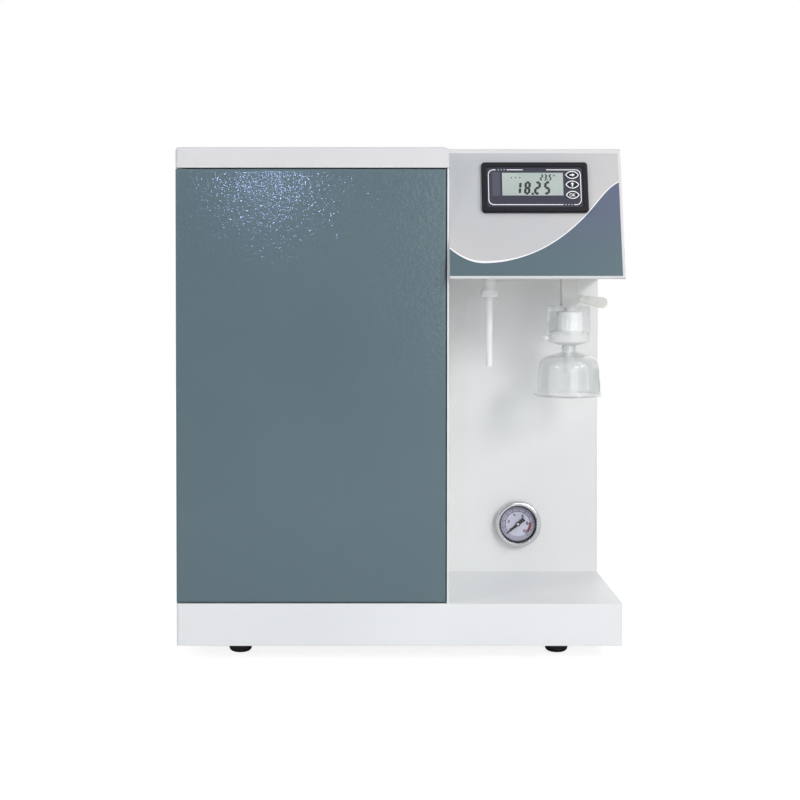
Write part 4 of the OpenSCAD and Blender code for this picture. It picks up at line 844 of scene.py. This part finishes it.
# %% Floor
PLAIN_SHARE, PLAIN_WHITE = 0.6, 1.45
card, tree, shader = new_finish("white_card_floor", "#F2F2F2", 0.8)
path = add(tree, "ShaderNodeLightPath")
seen = add(tree, "ShaderNodeMath", {1: PLAIN_SHARE}, {0: path.outputs["Is Camera Ray"]},
           operation="MULTIPLY")
white = add(tree, "ShaderNodeEmission", {"Color": (1, 1, 1, 1), "Strength": PLAIN_WHITE})
mixed = add(tree, "ShaderNodeMixShader", links={0: seen.outputs["Value"],
            1: shader.outputs["BSDF"], 2: white.outputs["Emission"]})
tree.links.new(mixed.outputs["Shader"], tree.nodes["Material Output"].inputs["Surface"])
floor_mesh = bpy.data.meshes.new("card_floor")
floor_mesh.from_pydata([(-6, -6, 0), (6, -6, 0), (6, 6, 0), (-6, 6, 0)], [], [(0, 1, 2, 3)])
floor_mesh.materials.append(card)
floor = bpy.data.objects.new("card_floor", floor_mesh)
bpy.context.scene.collection.objects.link(floor)

# %% [markdown]
# ## A dark card behind the camera
# In a white room chrome and glass mirror only white and look flat. A photographer hangs
# something dark behind the camera, and chrome, glass and dark gloss mirror it and keep
# their contrast. The camera looks through the card, so no view is ever blocked by it.

# %% Dark card
cloth, tree, shader = new_finish("dark_studio_card", "#2A2C30", 0.9)
path = add(tree, "ShaderNodeLightPath")
unseen = add(tree, "ShaderNodeBsdfTransparent")
pick = add(tree, "ShaderNodeMixShader", links={0: path.outputs["Is Camera Ray"],
           1: shader.outputs["BSDF"], 2: unseen.outputs["BSDF"]})
tree.links.new(pick.outputs["Shader"], tree.nodes["Material Output"].inputs["Surface"])
card_mesh = bpy.data.meshes.new("dark_card")
card_mesh.from_pydata([(-1.1, -2.6, 0.1), (1.1, -2.6, 0.1), (1.1, -2.6, 1.3),
                       (-1.1, -2.6, 1.3)], [], [(0, 1, 2, 3)])
card_mesh.materials.append(cloth)
dark_card = bpy.data.objects.new("dark_card", card_mesh)
bpy.context.scene.collection.objects.link(dark_card)

# %% World
FILL, WHITE = 0.33, 1.0
world = bpy.data.worlds.new("pale_studio")
bpy.context.scene.world = world
world.use_nodes = True
tree = world.node_tree
path = add(tree, "ShaderNodeLightPath")
direct = add(tree, "ShaderNodeMath", links={0: path.outputs["Is Camera Ray"],
             1: path.outputs["Is Transmission Ray"]}, operation="MAXIMUM")
plain = add(tree, "ShaderNodeMath", links={0: direct.outputs["Value"],
            1: path.outputs["Is Glossy Ray"]}, operation="MAXIMUM")
strength = add(tree, "ShaderNodeMapRange", {"To Min": FILL, "To Max": WHITE},
               {"Value": plain.outputs["Value"]})
background = tree.nodes["Background"]
background.inputs["Color"].default_value = (1, 1, 1, 1)
tree.links.new(strength.outputs["Result"], background.inputs["Strength"])


# %% Lamps
def soft_lamp(name, place, aim, size, watts):
    """A rectangular lamp at place, turned towards aim; all lengths are in metres."""
    lamp = bpy.data.lights.new(name, "AREA")
    lamp.shape = "RECTANGLE"
    lamp.size, lamp.size_y = size
    lamp.energy = watts
    holder = bpy.data.objects.new(name, lamp)
    holder.location = place
    way = Vector(aim) - Vector(place)
    holder.rotation_euler = way.to_track_quat("-Z", "Y").to_euler()
    bpy.context.scene.collection.objects.link(holder)
    return holder


soft_lamp("left_side", (-1.5, -1.35, 1.15), (0, 0, 0.25), (0.3, 0.36), 5.5)
soft_lamp("right_side", (1.6, -1.36, 1.3), (0.1, 0, 0.25), (0.3, 0.36), 5.5)
soft_lamp("front_key", (1.08, -2.07, 1.13), (0.1, 0, 0.25), (0.4, 0.45), 13.9)
soft_lamp("low_front", (0.6, -2.1, 0.45), (0.12, 0, 0.3), (0.9, 0.6), 5)
soft_lamp("top_left", (-0.75, -0.9, 1.6), (0, -0.1, 0.25), (0.8, 0.8), 2.5)
soft_lamp("top_right", (0.75, -0.9, 1.6), (0, -0.1, 0.25), (0.8, 0.8), 2)
# Behind the object, for the views of its rear; it isn't seen as a thing itself
rear = soft_lamp("rear_fill", (0, 2.4, 1.3), (0, 0.3, 0.2), (2.4, 1.6), 16)
rear.visible_camera = False
rear.visible_transmission = False
# A small lamp beside the camera, whose mirror image sets off the door's sparkle
spot = soft_lamp("bright_spot", (-0.2, -1.6, 0.53), (0, -0.2, 0.35), (0.04, 0.04), 0.75)
spot.data.color = linear("#B6C5FF")[:3]

bpy.context.scene.view_settings.view_transform = "Standard"
